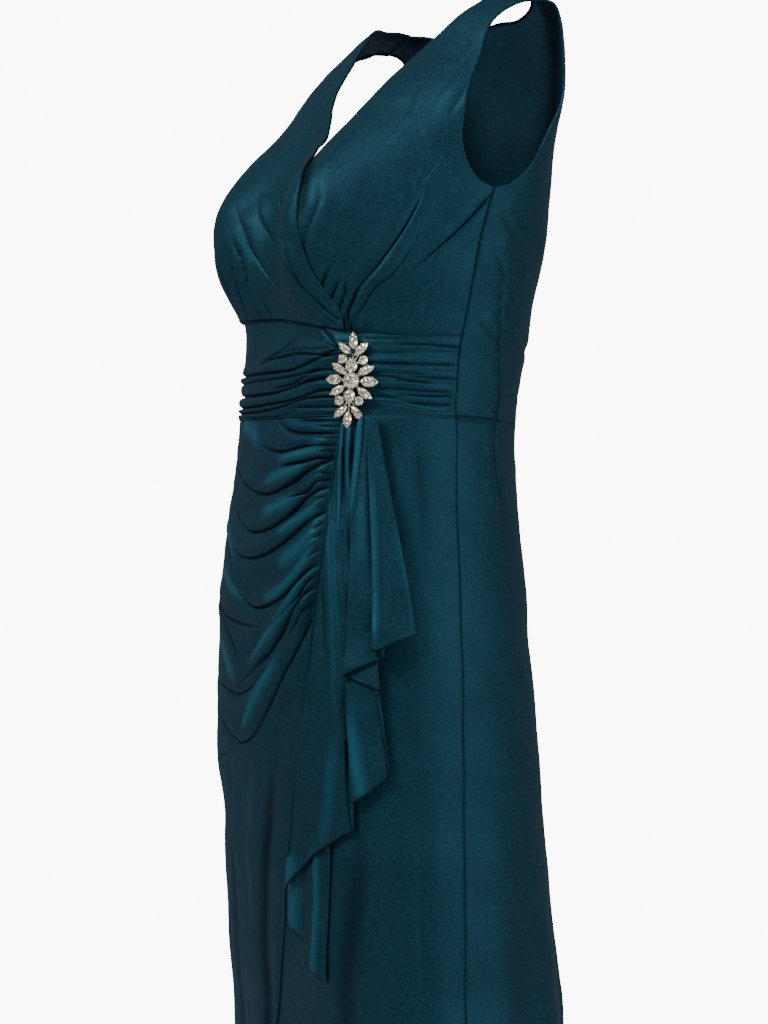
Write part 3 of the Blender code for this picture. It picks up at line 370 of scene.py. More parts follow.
def hermite(at, x, y):
    slopes = np.gradient(y, x)
    i = np.clip(np.searchsorted(x, at, side="right") - 1, 0, len(x) - 2)
    width = x[i + 1] - x[i]
    s = (at - x[i]) / width
    start = (1 + 2 * s) * (1 - s) ** 2 * y[i] + s * (1 - s) ** 2 * width * slopes[i]
    return start + s * s * (3 - 2 * s) * y[i + 1] + s * s * (s - 1) * width * slopes[i + 1]


FIGURE = table(SECTION_COLUMNS, SECTIONS)


def figure(angle, tape):
    """The point of the general figure at an angle and a tape reading."""
    angle, tape = np.broadcast_arrays(np.radians(angle), np.asarray(tape, dtype=float))
    level, half, side, front, back, square = (
        hermite(tape, FIGURE["tape"], FIGURE[name]) for name in SECTION_COLUMNS[1:])
    sine, cosine = np.sin(angle), np.cos(angle)
    reach = (np.abs(sine) ** square + np.abs(cosine) ** square) ** (-1 / square)
    x = half * reach * sine
    y = side - np.where(cosine > 0, side - front, back - side) * reach * cosine
    rise = level - BUST_LEVEL
    upright = np.exp(-(rise / np.where(rise > 0, BUST_UP, BUST_DOWN)) ** 2)
    across = np.exp(-((x - BUST_X) / BUST_WIDE) ** 2) + np.exp(-((x + BUST_X) / BUST_WIDE) ** 2)
    y = y - BUST_REACH * upright * across * smooth(cosine, 0.0, BUST_FRONT)
    chest = np.exp(-((level - RIGHT_CHEST_LEVEL) / RIGHT_CHEST_TALL) ** 2)
    y = y - RIGHT_CHEST * chest * smooth(-x, *RIGHT_CHEST_ACROSS) * smooth(cosine, 0.0, RIGHT_CHEST_FRONT)
    fall = SHOULDER_SLOPE * (np.abs(x) - SHOULDER_REST) * smooth(level, *SHOULDER_FADE)
    fall = fall + RIGHT_DROP * smooth(-x, 0.0, RIGHT_DROP_ACROSS) * smooth(level, RIGHT_DROP_FADE, 0.0)
    return np.stack([x, y, level - fall], axis=-1)


def swung(angle, tape):
    """An angle with the swing of the side seams, which fades away from them."""
    swing = SEAM_SWING[0] + (SEAM_SWING[1] - SEAM_SWING[0]) * smooth(tape, *SWING_CHANGE)
    swing = swing + SKIRT_SWING * smooth(tape, *SKIRT_SWING_CHANGE)
    return angle + swing * np.exp(-((angle - SIDE) / SWING_SPREAD) ** 2)


def outward(angle, tape):
    """The figure's normal, pointing away from the body."""
    step_angle, step_tape = 0.2, 0.0005
    down = figure(angle, tape + step_tape) - figure(angle, tape - step_tape)
    round_body = figure(angle + step_angle, tape) - figure(angle - step_angle, tape)
    normal = np.cross(down, round_body)
    return normal / np.linalg.norm(normal, axis=-1, keepdims=True)


def girth(angle, tape):
    """Metres along the figure for each degree round it."""
    return np.linalg.norm(figure(angle + 0.5, tape) - figure(angle - 0.5, tape), axis=-1)


# ---- edges of panels, as rows of (angle, tape)
def along(points, count):
    """count + 1 places along a smooth curve through the points, even in the share of its length."""
    points = np.array(points, dtype=float)
    steps = np.hypot(np.diff(points[:, 0]) * DEGREE, np.diff(points[:, 1]))
    distance = np.concatenate([[0.0], np.cumsum(steps)])
    at = np.linspace(0.0, distance[-1], count + 1)
    return paired(hermite(at, distance, points[:, 0]), hermite(at, distance, points[:, 1]))


def joined(*pieces):
    """One edge from several, each beginning where the one before it ends."""
    return np.concatenate([pieces[0]] + [piece[1:] for piece in pieces[1:]])


def mirrored(points):
    return tuple((-angle, tape) for angle, tape in points)


def ruled(top, bottom, rows):
    """Places between two edges, a column for each pair of places and rows + 1 of them down it."""
    shares = np.linspace(0, 1, rows + 1)[None, :, None]
    return blend(top[:, None], bottom[:, None], shares)


def coons(near, far, start, end):
    """Places inside four edges: near and far run in the columns, start and end in the rows."""
    across = np.linspace(0, 1, len(near))[:, None, None]
    up = np.linspace(0, 1, len(start))[None, :, None]
    between = blend(near[:, None], far[:, None], up)
    between = between + start[None] * (1 - across) + end[None] * across
    corners = blend(near[0], near[-1], across) * (1 - up)
    return between - corners - blend(far[0], far[-1], across) * up


def waist_tape(angle):
    """Tape of the waist seam, which dips behind."""
    return WAIST + WAIST_DIP * smooth(-np.cos(np.radians(angle)), 0.0, 0.7)


def drape_angle(tape):
    """Angle of the slanting seam between the draped and the plain front."""
    return read(DRAPE_SEAM, tape)


def bumps(at, rows):
    """Rounded ridges side by side, read at one angle."""
    return sum(height * np.exp(-((at - centre) / spread) ** 2) for centre, height, spread in rows)


def flare(angle, tape):
    """How far the skirt's lower part opens into soft flutes."""
    opening = smooth(tape, FLARE_TOP, HEM) * (tape - FLARE_TOP) / (HEM - FLARE_TOP)
    turned = np.where(angle < -90, angle + 360, angle)
    return opening * sum(bumps(turned - whole, FLARES) for whole in (0, 360, -360))


# ---- creases
def beside(places, normals, line):
    """How far along a line each place is, and its distance, more than 0 on the line's left from outside."""
    share = np.zeros(len(places))
    nearest = np.full(len(places), 1.0)
    left = np.zeros(len(places))
    for k, (start, stop) in enumerate(zip(line, line[1:])):
        step = stop - start
        part = np.clip((places - start) @ step / (step @ step), 0, 1)
        off = places - start - part[:, None] * step
        distance = np.linalg.norm(off, axis=1)
        closer = distance < nearest
        nearest = np.where(closer, distance, nearest)
        share = np.where(closer, (k + part) / (len(line) - 1), share)
        side = np.einsum("ij,ij->i", np.cross(normals, step), off)
        left = np.where(closer, np.sign(side), left)
    return share, nearest * left


def swell(distance, rise, width):
    """A fold beside a creased line: nothing on the line, highest at its width, gone at three widths."""
    reach = np.abs(distance) / (width * MM)
    return rise * MM * reach * np.exp((1 - reach * reach) / 2)


def creased(base, normals, rows):
    """Heights of a panel's creases, with the painted shade of its creases and painted highlight of its
    ridges, from its rows.
    """
    shape = base.shape[:-1]
    places, normals = base.reshape(-1, 3), normals.reshape(-1, 3)
    height, shade = np.zeros(len(places)), np.zeros(len(places))
    for line, folds, depth, gape, (start, stop) in rows:
        line = along(line, CREASE_STEPS * len(line))
        line = figure(line[:, 0], line[:, 1])
        left, right = folds[:2], folds[-2:]
        reach = FOLD_WIDTHS * MM * max(left[1], right[1])
        near = np.all((places > line.min(axis=0) - reach) & (places < line.max(axis=0) + reach), axis=1)
        if not near.any():
            continue
        share, distance = beside(places[near], normals[near], line)
        fade = smooth(share, 0, start) if start else 1.0
        fade = fade * (smooth(1 - share, 0, stop) if stop else 1.0)
        beside_it = np.where(distance > 0, swell(distance, *left), swell(distance, *right))
        trough = np.exp(-(distance / (gape * MM)) ** 2)
        height[near] += fade * (beside_it - depth * MM * trough)
        painted_light = fade * trough * np.clip(depth / DARKEST_DEPTH, -1.0, 1.0)
        shade[near] = np.where(np.abs(painted_light) > np.abs(shade[near]), painted_light, shade[near])
    return height.reshape(shape), shade.reshape(shape)


# ---- making cloth
def placed(name, data):
    """An object for some data, in the scene."""
    made = bpy.data.objects.new(name, data)
    bpy.context.scene.collection.objects.link(made)
    return made


def cloth_normals(points):
    """The cloth's own normals over its grid of points."""
    normal = np.cross(np.gradient(points, axis=1), np.gradient(points, axis=0))
    return normal / np.maximum(np.linalg.norm(normal, axis=-1, keepdims=True), 1e-12)


def with_turnings(points, normals, depth):
    """The grid with its edges turned in, as a hem or a seam allowance goes to the inside."""
    grid = np.pad(points, ((2, 2), (2, 2), (0, 0)), mode="edge")
    up = np.pad(normals, ((2, 2), (2, 2), (0, 0)), mode="edge")
    column, row = np.arange(grid.shape[0]), np.arange(grid.shape[1])
    ring = np.minimum(np.minimum(column, column[::-1])[:, None], np.minimum(row, row[::-1])[None, :])
    down = np.choose(np.minimum(ring, 2), (depth, TURNED_BEND * depth, 0.0))
    return grid - up * down[..., None]


def uneven(points):
    """The slight unevenness of worn cloth: a seeded sum of waves, long and low and short and lower."""
    draw = np.random.default_rng(UNEVEN_SEED)
    height = np.zeros(points.shape[:-1])
    for count, longest, shortest, rise in UNEVEN:
        for length in np.geomspace(longest, shortest, count):
            way = draw.normal(size=3)
            way = way / np.linalg.norm(way) * 2 * np.pi / length
            height += rise / math.sqrt(count) * np.sin(points @ way + draw.uniform(0, WHOLE_TURN))
    return height


def cloth(name, places, lift, creases, settle=1.0):
    """One panel of cloth: a thin shell over a grid of places, lifted and creased, its edges turned in.
    settle is the share of the folds' height that is left where the cloth is held flat."""
    tape = np.maximum(places[..., 1], HALF_SEAM)
    angle = swung(places[..., 0], tape)
    base, normal = figure(angle, tape), outward(angle, tape)
    height, shade = creased(base, normal, creases)
    points = base + normal * (WALL + lift + height * settle + uneven(base))[..., None]
    return shell(name, points, shade, TURNED_IN, CLOTH)


def shell(name, points, shade, depth, thickness):
    """A thin shell on a grid of points, with the painted shade of its creases and painted highlight of its
    ridges stored on its points.
    """
    normals = cloth_normals(points)
    grid = with_turnings(points, normals, depth)
    shade = np.pad(shade, 2, mode="edge")
    columns, rows = grid.shape[:2]
    bm = bmesh.new()
    bmesh.ops.create_grid(bm, x_segments=columns - 1, y_segments=rows - 1, size=0.5)
    mesh = bpy.data.meshes.new(name)
    bm.to_mesh(mesh)
    bm.free()
    flat = np.empty(len(mesh.vertices) * 3)
    mesh.vertices.foreach_get("co", flat)
    flat = flat.reshape(-1, 3)
    column = np.rint((flat[:, 0] + 0.5) * (columns - 1)).astype(int)
    row = np.rint((flat[:, 1] + 0.5) * (rows - 1)).astype(int)
    mesh.vertices.foreach_set("co", grid[column, row].ravel())
    # each point's painted shade, above 0 in the creases, and painted highlight, below 0 on the ridges
    painted_shade_and_highlight = mesh.attributes.new("painted_shade_and_highlight", "FLOAT", "POINT")
    painted_shade_and_highlight.data.foreach_set("value", shade[column, row])
    mesh.update()
    middle = mesh.polygons[len(mesh.polygons) // 2]
    corner = middle.vertices[0]
    if np.array(middle.normal) @ normals[column[corner] - 2, row[corner] - 2] < 0:
        mesh.flip_normals()
    mesh.shade_smooth()
    piece = placed(name, mesh)
    wall = piece.modifiers.new("cloth", "SOLIDIFY")
    wall.thickness, wall.offset = thickness, -1.0
    return piece


def under_edge_angle(tape):
    """Angle of the hidden edge of the left front, carried on upwards past the crossing."""
    slope = (UNDER_EDGE[-1][0] - UNDER_EDGE[0][0]) / (UNDER_EDGE[-1][1] - UNDER_EDGE[0][1])
    return np.maximum(UNDER_EDGE[0][0] + slope * (tape - UNDER_EDGE[0][1]), UNDER_EDGE[-1][0])


def over_lift(angle, tape):
    """How far the right front stands off where the left front lies below it."""
    edge = under_edge_angle(tape)
    return smooth(angle, edge - WRAP_RISE[0], edge - WRAP_RISE[1]) * (WALL + WRAP_GAP)


# ---- panels, each on a grid with as many steps along its edges as its function says
CROSSING, CROWDING = 40, 1.25            # where the fronts meet the waistband, and how the rays crowd there
BAND_SETTLE, BAND_SETTLE_OVER = 0.25, 0.022


def front_right():
    rays, steps, seam_steps, overlap_steps, strap_steps = 250, 160, 60, 84, 20
    near_angles = CROSSING - (CROSSING + SIDE) * np.linspace(0, 1, steps + 1) ** CROWDING
    near = paired(near_angles, read(UNDERBUST, near_angles) - HALF_SEAM)
    far = joined(along(OVERLAP, overlap_steps), along(OVER_NECK, steps - overlap_steps))
    start = np.linspace(near[0], far[0], rays + 1)
    seam_rows = np.linspace(near[-1, 1], SIDE_TOP, seam_steps + 1)
    side_seam = paired(-SIDE, seam_rows)
    end = joined(side_seam, along(mirrored(ARMHOLE[::-1]), rays - seam_steps - strap_steps),
                 along((mirrored(ARMHOLE)[0], OVER_NECK[-1]), strap_steps))
    places = coons(near, far, start, end)
    places[-1, :len(seam_rows), 0] += HALF_SEAM_ANGLE
    lift = over_lift(places[..., 0], places[..., 1])
    above_band = read(UNDERBUST, places[..., 0]) - places[..., 1]
    settle = BAND_SETTLE + (1 - BAND_SETTLE) * smooth(above_band, 0.0, BAND_SETTLE_OVER)
    return cloth("front_right", places, lift, BUST_RIGHT, settle)


def front_left():
    armhole_steps, seam_steps, neck_steps, far_steps, near_steps, near_angle = 90, 80, 90, 110, 90, 52
    side_rows = np.linspace(SIDE_TOP, SIDE_LOW, seam_steps + 1)
    side_seam = paired(SIDE, side_rows)
    outer = joined(along(ARMHOLE, armhole_steps), side_seam)
    inner = joined(along(NECK_EDGE, neck_steps), along(UNDER_EDGE, armhole_steps + seam_steps - neck_steps))
    angles = joined(np.linspace(SIDE, near_angle, far_steps + 1),
                    np.linspace(near_angle, UNDER_EDGE[-1][0], near_steps + 1))
    shoulder = along((ARMHOLE[0], NECK_EDGE[0]), len(angles) - 1)
    bottom = paired(angles, read(UNDERBUST, angles) - HALF_SEAM)
    outer[-1], inner[-1] = bottom[0], bottom[-1]
    places = coons(outer, inner, shoulder, bottom)
    places[armhole_steps:, 0, 0] -= HALF_SEAM_ANGLE
    return cloth("front_left", places, 0.0, BUST_LEFT)


def back():
    neck_steps, armhole_steps, strap_steps, rows, spread = 24, 44, 12, 100, 0.06
    far_neck = tuple((360 - angle, tape) for angle, tape in BACK_NECK[::-1])
    neck = joined(along(BACK_NECK, neck_steps), along(far_neck, neck_steps))
    left = joined(along(BACK_ARMHOLE, armhole_steps), along((BACK_ARMHOLE[-1], BACK_NECK[0]), strap_steps))
    right = paired(360 - left[::-1, 0], left[::-1, 1])
    top = joined(left, neck, right)
    shares = np.linspace(0, 1, len(top))
    angles = SIDE + (360 - 2 * SIDE) * (shares + spread * np.sin(2 * np.pi * shares))
    bottom = paired(angles, waist_tape(angles) - HALF_SEAM)
    places = ruled(top, bottom, rows)
    places[0, :, 0] += HALF_SEAM_ANGLE
    places[-1, :, 0] -= HALF_SEAM_ANGLE
    return cloth("back", places, 0.0, BACK_BODICE)


def waistband(name, first, last, columns, creases):
    rows = 105
    angles = np.linspace(first + HALF_SEAM_ANGLE, last - HALF_SEAM_ANGLE, columns + 1)
    top = paired(angles, read(UNDERBUST, angles) + HALF_SEAM)
    bottom = paired(angles, waist_tape(angles) - HALF_SEAM)
    return cloth(name, ruled(top, bottom, rows), 0.0, creases)


def waist_left_creases():
    rows = []
    for line, depth in WAIST_LEFT:
        rise = WAIST_LEFT_RIDGE if depth < 0 else WAIST_LEFT_RISE * depth
        left, right = ((rise, width) for width in WAIST_LEFT_WIDTHS)
        rows.append((line, left + right, depth, WAIST_LEFT_GAPE, WAIST_LEFT_FADES))
    return rows


def waist_right():
    return waistband("waist_right", -SIDE, MIDRIFF_JOIN, 190, WAIST_RIGHT)


def waist_left():
    return waistband("waist_left", MIDRIFF_JOIN, SIDE, 140, waist_left_creases())


def drape_places():
    """Rows of the draped front, that run with the swags and then level out to the hem."""
    swag_rows, plain_rows, columns = 280, 50, 120
    rows = table(SWAG_COLUMNS, SWAGS)
    order = np.arange(len(SWAGS))
    index = np.linspace(0, order[-1], swag_rows + 1)
    plain = np.linspace(0, 1, plain_rows + 1)[1:]
    seam, low, hip = (np.concatenate([np.interp(index, order, rows[name]), blend(rows[name][-1], HEM, plain)])
                      for name in SWAG_COLUMNS)
    share = np.linspace(0, 1, columns + 1)[:, None]
    seam_angle = (drape_angle(seam) - HALF_SEAM_ANGLE)[None, :]
    angle = seam_angle + (-SIDE + HALF_SEAM_ANGLE - seam_angle) * share
    low_angle = np.minimum(SWAG_LOW_ANGLE, seam_angle - SWAG_SEAM_ANGLE)
    rising = np.clip((angle - low_angle) / (seam_angle - low_angle), 0, 1) ** SWAG_CURVE
    hipward = smooth((low_angle - angle) / (low_angle - SWAG_HIP_ANGLE), 0, 1)
    tape = low + (seam - low) * rising + (hip - low) * hipward
    return paired(angle, tape)


# the drape's folds are flatter at its seam and over the hip, by shares across it; over the hip it is puffed
# out instead, between two spans of tape
SEAM_SETTLE, SEAM_SETTLE_OVER = 0.03, (0.004, 0.045)
HIP_SETTLE, HIP_SETTLE_OVER = 0.75, (0.22, 0.5)
PUFF, PUFF_OVER, PUFF_FROM, PUFF_TO = 0.0034, (0.2, 0.45), (0.44, 0.60), (0.70, 0.78)


def skirt_drape():
    places = drape_places()
    tape, held = places[..., 1], np.linspace(0, 1, places.shape[0])[:, None]
    settle = SEAM_SETTLE + (1 - SEAM_SETTLE) * smooth(held, *SEAM_SETTLE_OVER)
    settle = settle * (1 - HIP_SETTLE * smooth(held, *HIP_SETTLE_OVER))
    puffed = PUFF * smooth(held, *PUFF_OVER) * smooth(tape, *PUFF_FROM) * (1 - smooth(tape, *PUFF_TO))
    return cloth("skirt_drape", places, flare(places[..., 0], tape) + puffed, DRAPE, settle)


def skirt_left():
    upper_rows, lower_rows, columns, knee = 60, 90, 75, 0.66
    tapes = joined(np.linspace(WAIST + HALF_SEAM, knee, upper_rows + 1),
                   np.linspace(knee, HEM, lower_rows + 1))
    first = drape_angle(tapes) + HALF_SEAM_ANGLE
    angle = first + (SIDE - HALF_SEAM_ANGLE - first) * np.linspace(0, 1, columns + 1)[:, None]
    places = paired(angle, tapes)
    return cloth("skirt_left", places, flare(places[..., 0], places[..., 1]), PLAIN_FRONT)


def skirt_back():
    columns, rows = 165, 90
    angles = np.linspace(SIDE + HALF_SEAM_ANGLE, 360 - SIDE - HALF_SEAM_ANGLE, columns + 1)
    top = paired(angles, waist_tape(angles) + HALF_SEAM)
    places = ruled(top, paired(angles, HEM), rows)
    return cloth("skirt_back_cloth", places, flare(places[..., 0], places[..., 1]), BACK_SKIRT)


# ---- cascade: a fall of cloth folded to and fro, with a slanting hem. A row for each turn, from the seam and
# the lowest layer on: its angles at the top, at the knot and at the hem, the hem's tape, how far the hem bows
# down after it, and how far the turn opens at the hem
TURN_COLUMNS = ("top", "middle", "foot", "hem", "bow", "opens")
TURNS = (
    (42.0, 32.5, 11.8, 0.859, 0.000, 0.0000),
    (44.0, 41.0, 28.9, 0.899, 0.000, 0.0000),
    (43.0, 37.0, 21.2, 0.896, 0.003, 0.0000),
    (48.0, 44.0, 30.0, 0.909, 0.000, 0.0000),
    (48.0, 44.0, 35.0, 0.797, -0.016, 0.0000),
    (45.0, 36.0, 16.8, 0.831, -0.006, 0.0008),
    (48.0, 45.0, 45.0, 0.779, 0.000, 0.0000),
    (47.0, 44.4, 46.2, 0.754, 0.001, 0.0000),
    (52.0, 53.5, 59.2, 0.731, 0.000, 0.0000),
    (50.5, 53.0, 55.0, 0.664, 0.000, 0.0000),
    (53.5, 54.0, 56.4, 0.658, 0.000, 0.0000),
    (50.0, 46.8, 44.2, 0.6465, -0.001, 0.0022),
    (55.5, 57.0, 58.6, 0.632, 0.000, 0.0000),
    (53.4, 54.8, 54.3, 0.626, 0.000, 0.0095),
    (56.6, 66.4, 69.8, 0.612, 0.000, 0.0000),
)
CASCADE_TOP = (0.4335, 0.4235)       # the gathered top: below the brooch, and higher up beside it
BESIDE_BROOCH = (49, 52)             # angles over which it goes from the one to the other
LOW_LAYERS = (2.5, 4)                # layers over which it does, because the lowest begin higher up as well
CASCADE_KNOT = 0.560
CASCADE_LOW = 0.0010                 # the first layer's middle above the skirt's face
CASCADE_CLOTH = 0.0006
SEAM_COVER = 0.7                     # degrees by which the first layer covers the drape's seam, either way
# from one layer to the next: at the top, just below it and at the foot, and how far down each goes over
PITCH, PITCH_OVER = (0.0006, 0.0007, 0.00075), ((0, 0.03), (0.02, 0.4))
# how much a turned edge swells, over which share of its layer, how far down it begins, and from which layer
ROUND_TURN, ROUND_SHARE, ROUND_BELOW, ROUND_FROM = 0.0005, 0.16, 0.05, 0.6
OPENS_OVER, OPENS_CURVE = 0.060, 1.5         # how far above the hem a turn begins to open
HEM_LIFT, HEM_LIFT_REACH, LOWEST_LIFT = 0.0010, 0.030, 0.3
# painted shade along the hems; one that climbs more than STEEP_HEM gets a painted highlight instead, where it
# catches the light
HEM_SHARE, HEM_PAINTED_SHADE, STEEP_HEM, STEEP_HEM_PAINTED_HIGHLIGHT = 0.992, 0.9, 0.1, -0.5
RUN_COLUMNS, WIDEST_RUN, CASCADE_ROWS, TURN_BOWS = 6, 18, 130, (-60, -30, 0, 30, 60)
# creases over the whole fall: those of negative depth are low ridges whose painted highlight gives the layers
# their sheen, those of positive depth narrow troughs with painted shade beside the turned edges
CASCADE_FOLDS = (
    (((43.4, .424), (43.0, .471), (42.4, .514), (41.4, .548)), (0.2, 3), -1.6, 1.2, (0, .4)),
    (((46.5, .424), (46.2, .471), (46.8, .504)), (0.2, 3), -1.8, 1.4, (0, .3)),
    (((50.8, .418), (50.4, .449), (49.0, .476), (47.8, .502), (47.0, .530)), (0.2, 3), -3.2, 1.8, (0, .3)),
    (((44.6, .424), (44.2, .470), (43.8, .520)), (0.2, 3), 1.6, 1.0, (0, .5)),
    (((48.2, .424), (47.9, .460), (47.3, .490)), (0.2, 3), 1.8, 1.0, (0, .4)),
    (((52.0, .424), (51.8, .450), (50.6, .480)), (0.2, 3), 1.2, 1.0, (0, .6)),
    (((53.1, .440), (53.9, .480), (54.2, .550), (53.8, .610)), (0.2, 2), 1.2, 0.8, (.3, 0)),
    (((48.0, .470), (46.6, .520), (45.8, .560), (44.7, .610), (43.6, .645)), (0.2, 2), 1.2, 0.8, (.3, 0)),
    (((37.6, .470), (38.4, .523), (39, .566), (39.4, .617), (39.6, .668), (40.2, .719)), (0.3, 5), -0.8, 3.0,
     (.2, .4)),
    (((40.4, .500), (40.6, .548), (41.4, .599), (42.2, .667)), (0.3, 5), -0.8, 1.4, (.2, .4)),
    (((35.4, .540), (36, .600), (36.8, .660)), (0.3, 5), 1.0, 1.6, (.4, .5)),
    (((55.4, .450), (55.9, .510), (56.0, .580), (55.8, .622)), (0.3, 4), -1.1, 2.2, (.4, .1)),
    (((62, .500), (65, .548), (66, .590)), (0.3, 5), -0.5, 4.0, (.4, .3)),
    (((51, .480), (51, .530), (50.6, .570)), (0.3, 5), -0.5, 4.0, (.4, .5)),
    (((45, .655), (45.6, .680), (46.8, .710), (49.0, .744)), (0.3, 5), -2.4, 6.0, (.6, 0)),
    (((40, .672), (39, .703), (36.5, .755), (33.0, .79), (30, .815)), (0.3, 6), -0.8, 6.5, (.4, .3)),
    (((43.2, .640), (43.4, .680), (44.2, .720), (44.4, .750)), (0.3, 3), 1.2, 2.6, (.3, .3)),
    (((20.6, .800), (16.8, .843), (15.0, .870)), (0.3, 3), -4.0, 9.0, (.1, 0)),
    (((30, .790), (28.4, .84), (25.0, .900)), (0.3, 3), -3.2, 3.8, (.1, 0)),
)


def cascade_columns(turns, runs):
    """The columns of the cascade's grid, across each run between two turns and round each turn: run, share of
    it, how much of the turn's radius to add, height in layers, and share of the turn's opening."""
    columns = []
    for run in range(runs):
        wide = abs(turns["foot"][run + 1] - turns["foot"][run])
        across = np.linspace(0, 1, RUN_COLUMNS + int(min(wide, WIDEST_RUN) / 2))
        columns += [(run, share, 1 - 2 * share, run, 0) for share in across]
        if run < runs - 1:
            for bow in np.radians(TURN_BOWS):
                risen = 0.5 + 0.5 * math.sin(bow)
                columns.append((run, 1.0, math.cos(bow) - 1, run + risen, risen))
    return (np.array(values) for values in zip(*columns))


def cascade():
    turns = table(TURN_COLUMNS, TURNS)
    runs = len(TURNS) - 1
    run, share, swing, layer, round_turn = cascade_columns(turns, runs)
    on_turn = (share == 1.0) & (layer != run)
    top, middle, foot, hem = (blend(turns[name][run], turns[name][run + 1], share)
                              for name in TURN_COLUMNS[:4])
    hem = hem + turns["bow"][run] * 4 * share * (1 - share)
    opens, next_opens = turns["opens"][run], turns["opens"][run + 1]
    loose = np.where(on_turn, next_opens, opens * (1 - share) ** 2 + next_opens * share ** 2)
    opens = np.where(on_turn, next_opens * round_turn, opens * (1 - share))
    upward = np.maximum(smooth(top, *BESIDE_BROOCH), 1 - smooth(layer, *LOW_LAYERS))
    begin = CASCADE_TOP[0] + (CASCADE_TOP[1] - CASCADE_TOP[0]) * upward
    # from here on a row for each column above, and along it the shares of the way down
    shares = np.linspace(0, 1, CASCADE_ROWS + 1)[None, :]
    hem, begin, top, middle, foot, layer, opens, loose, swing, share = (
        values[:, None] for values in (hem, begin, top, middle, foot, layer, opens, loose, swing, share))
    tape = begin + (hem - begin) * shares
    knot = (CASCADE_KNOT - begin) / (hem - begin)
    bend = (foot - top - (middle - top) / knot) / (1 - knot)
    angle = top + shares * ((middle - top) / knot) + bend * shares * (shares - knot)
    first = run == 0
    cover = drape_angle(tape[first]) + SEAM_COVER * (2 * share[first] - 1)
    angle[first] = np.maximum(angle[first], cover)
    fall = tape - CASCADE_TOP[1]
    pitch = PITCH[0] + sum((low - high) * smooth(fall, *over) for high, low, over in
                           zip(PITCH, PITCH[1:], PITCH_OVER))
    opened = smooth(tape, hem - OPENS_OVER, hem) ** OPENS_CURVE
    radius = (pitch + loose * opened) / 2
    facing = np.sign(turns["foot"][run + 1] - turns["foot"][run])[:, None]
    reach = np.where(first[:, None] & (share == 0), 0.0, swing) * radius
    angle = angle + facing * reach / girth(angle, tape)
    round_off = np.exp(-(np.minimum(share, 1 - share) / ROUND_SHARE) ** 2) * smooth(fall, 0, ROUND_BELOW)
    above = WALL + CASCADE_LOW + layer * pitch + ROUND_TURN * round_off * (layer > ROUND_FROM)
    lift = HEM_LIFT * (LOWEST_LIFT + (1 - LOWEST_LIFT) * layer / runs)
    above = above + opens * opened + lift * smooth(tape, hem - HEM_LIFT_REACH, hem)
    base, normal = figure(angle, tape), outward(angle, tape)
    height, shade = creased(base, normal, CASCADE_FOLDS)
    points = base + normal * (above + flare(angle, tape) + height + uneven(base))[..., None]
    # painted shade along the hem, and a painted highlight along one that climbs steeply
    painted_hem_share = smooth(shares, HEM_SHARE, 1.0)
    climb = np.abs(turns["hem"][run + 1] - turns["hem"][run])[:, None]
    shade = blend(shade, np.where(climb > STEEP_HEM, STEEP_HEM_PAINTED_HIGHLIGHT, HEM_PAINTED_SHADE), painted_hem_share)
    return shell("cascade_fall", points, shade, CASCADE_CLOTH, CASCADE_CLOTH)


# ---- brooch, in its own plane: across and up from its middle, in millimetres. joins is the number, counted
# from 0, of the stone that a bar goes to
BROOCH_ANGLE, BROOCH_TAPE, BROOCH_REACH = 46.1, 0.3893, 0.02
BROOCH_STAND = 0.0032                # its back above the waistband's outer face
PLATE = 0.0014
STONE_COLUMNS = ("shape", "across", "up", "length", "width", "turn", "joins")
STONES = (
    ("round", -0.7, -0.3, 14.2, 14.2, 0, 0),
    ("marquise", -2.8, 33.8, 15.2, 7.8, 97, 6),
    ("marquise", -9.5, 26.5, 15.6, 6.8, 145, 6),
    ("marquise", 4.9, 27.3, 15.2, 7.2, 46, 6),
    ("round", -11.0, 17.8, 8.0, 8.0, 0, 6),
    ("round", 8.0, 17.9, 8.2, 8.2, 0, 6),
    ("pear", -2.3, 13.1, 12.0, 10.4, 97, 0),
    ("marquise", -13.2, 9.4, 15.6, 6.6, 149, 0),
    ("marquise", 11.2, 9.6, 15.2, 7.2, 28, 0),
    ("marquise", -16.5, -0.3, 14.2, 8.8, 184, 0),
    ("marquise", 15.2, -0.1, 16.2, 9.0, 2, 0),
    ("marquise", -12.7, -9.4, 14.6, 7.2, 212, 0),
    ("marquise", 11.8, -10.2, 15.8, 7.2, -31, 0),
    ("pear", -1.2, -14.2, 12.6, 9.6, -85, 0),
    ("round", -10.1, -18.2, 8.6, 8.6, 0, 13),
    ("round", 8.0, -17.1, 8.0, 8.0, 0, 13),
    ("marquise", -8.1, -27.6, 14.0, 6.9, 224, 13),
    ("marquise", -0.7, -34.0, 14.4, 7.6, -88, 13),
    ("marquise", 7.2, -27.7, 15.4, 6.7, -44, 13),
)
STONE_ROWS = [dict(zip(STONE_COLUMNS, values)) for values in STONES]
STONE_SIDES, CUP_SIDES = 16, 32
PEAR_POINT, PEAR_TAPER = 0.5, 0.25
STONE_RISE = 0.12                    # by which the profile stands off its plate, in shares of the width
# a stone's profile: share of its outline, height in shares of its width, share of a side it is turned by
CROWN = ((0.55, -0.10, 0.0), (1.0, 0.10, 0.0), (1.0, 0.14, 0.0), (0.82, 0.27, 0.5), (0.56, 0.36, 0.0))
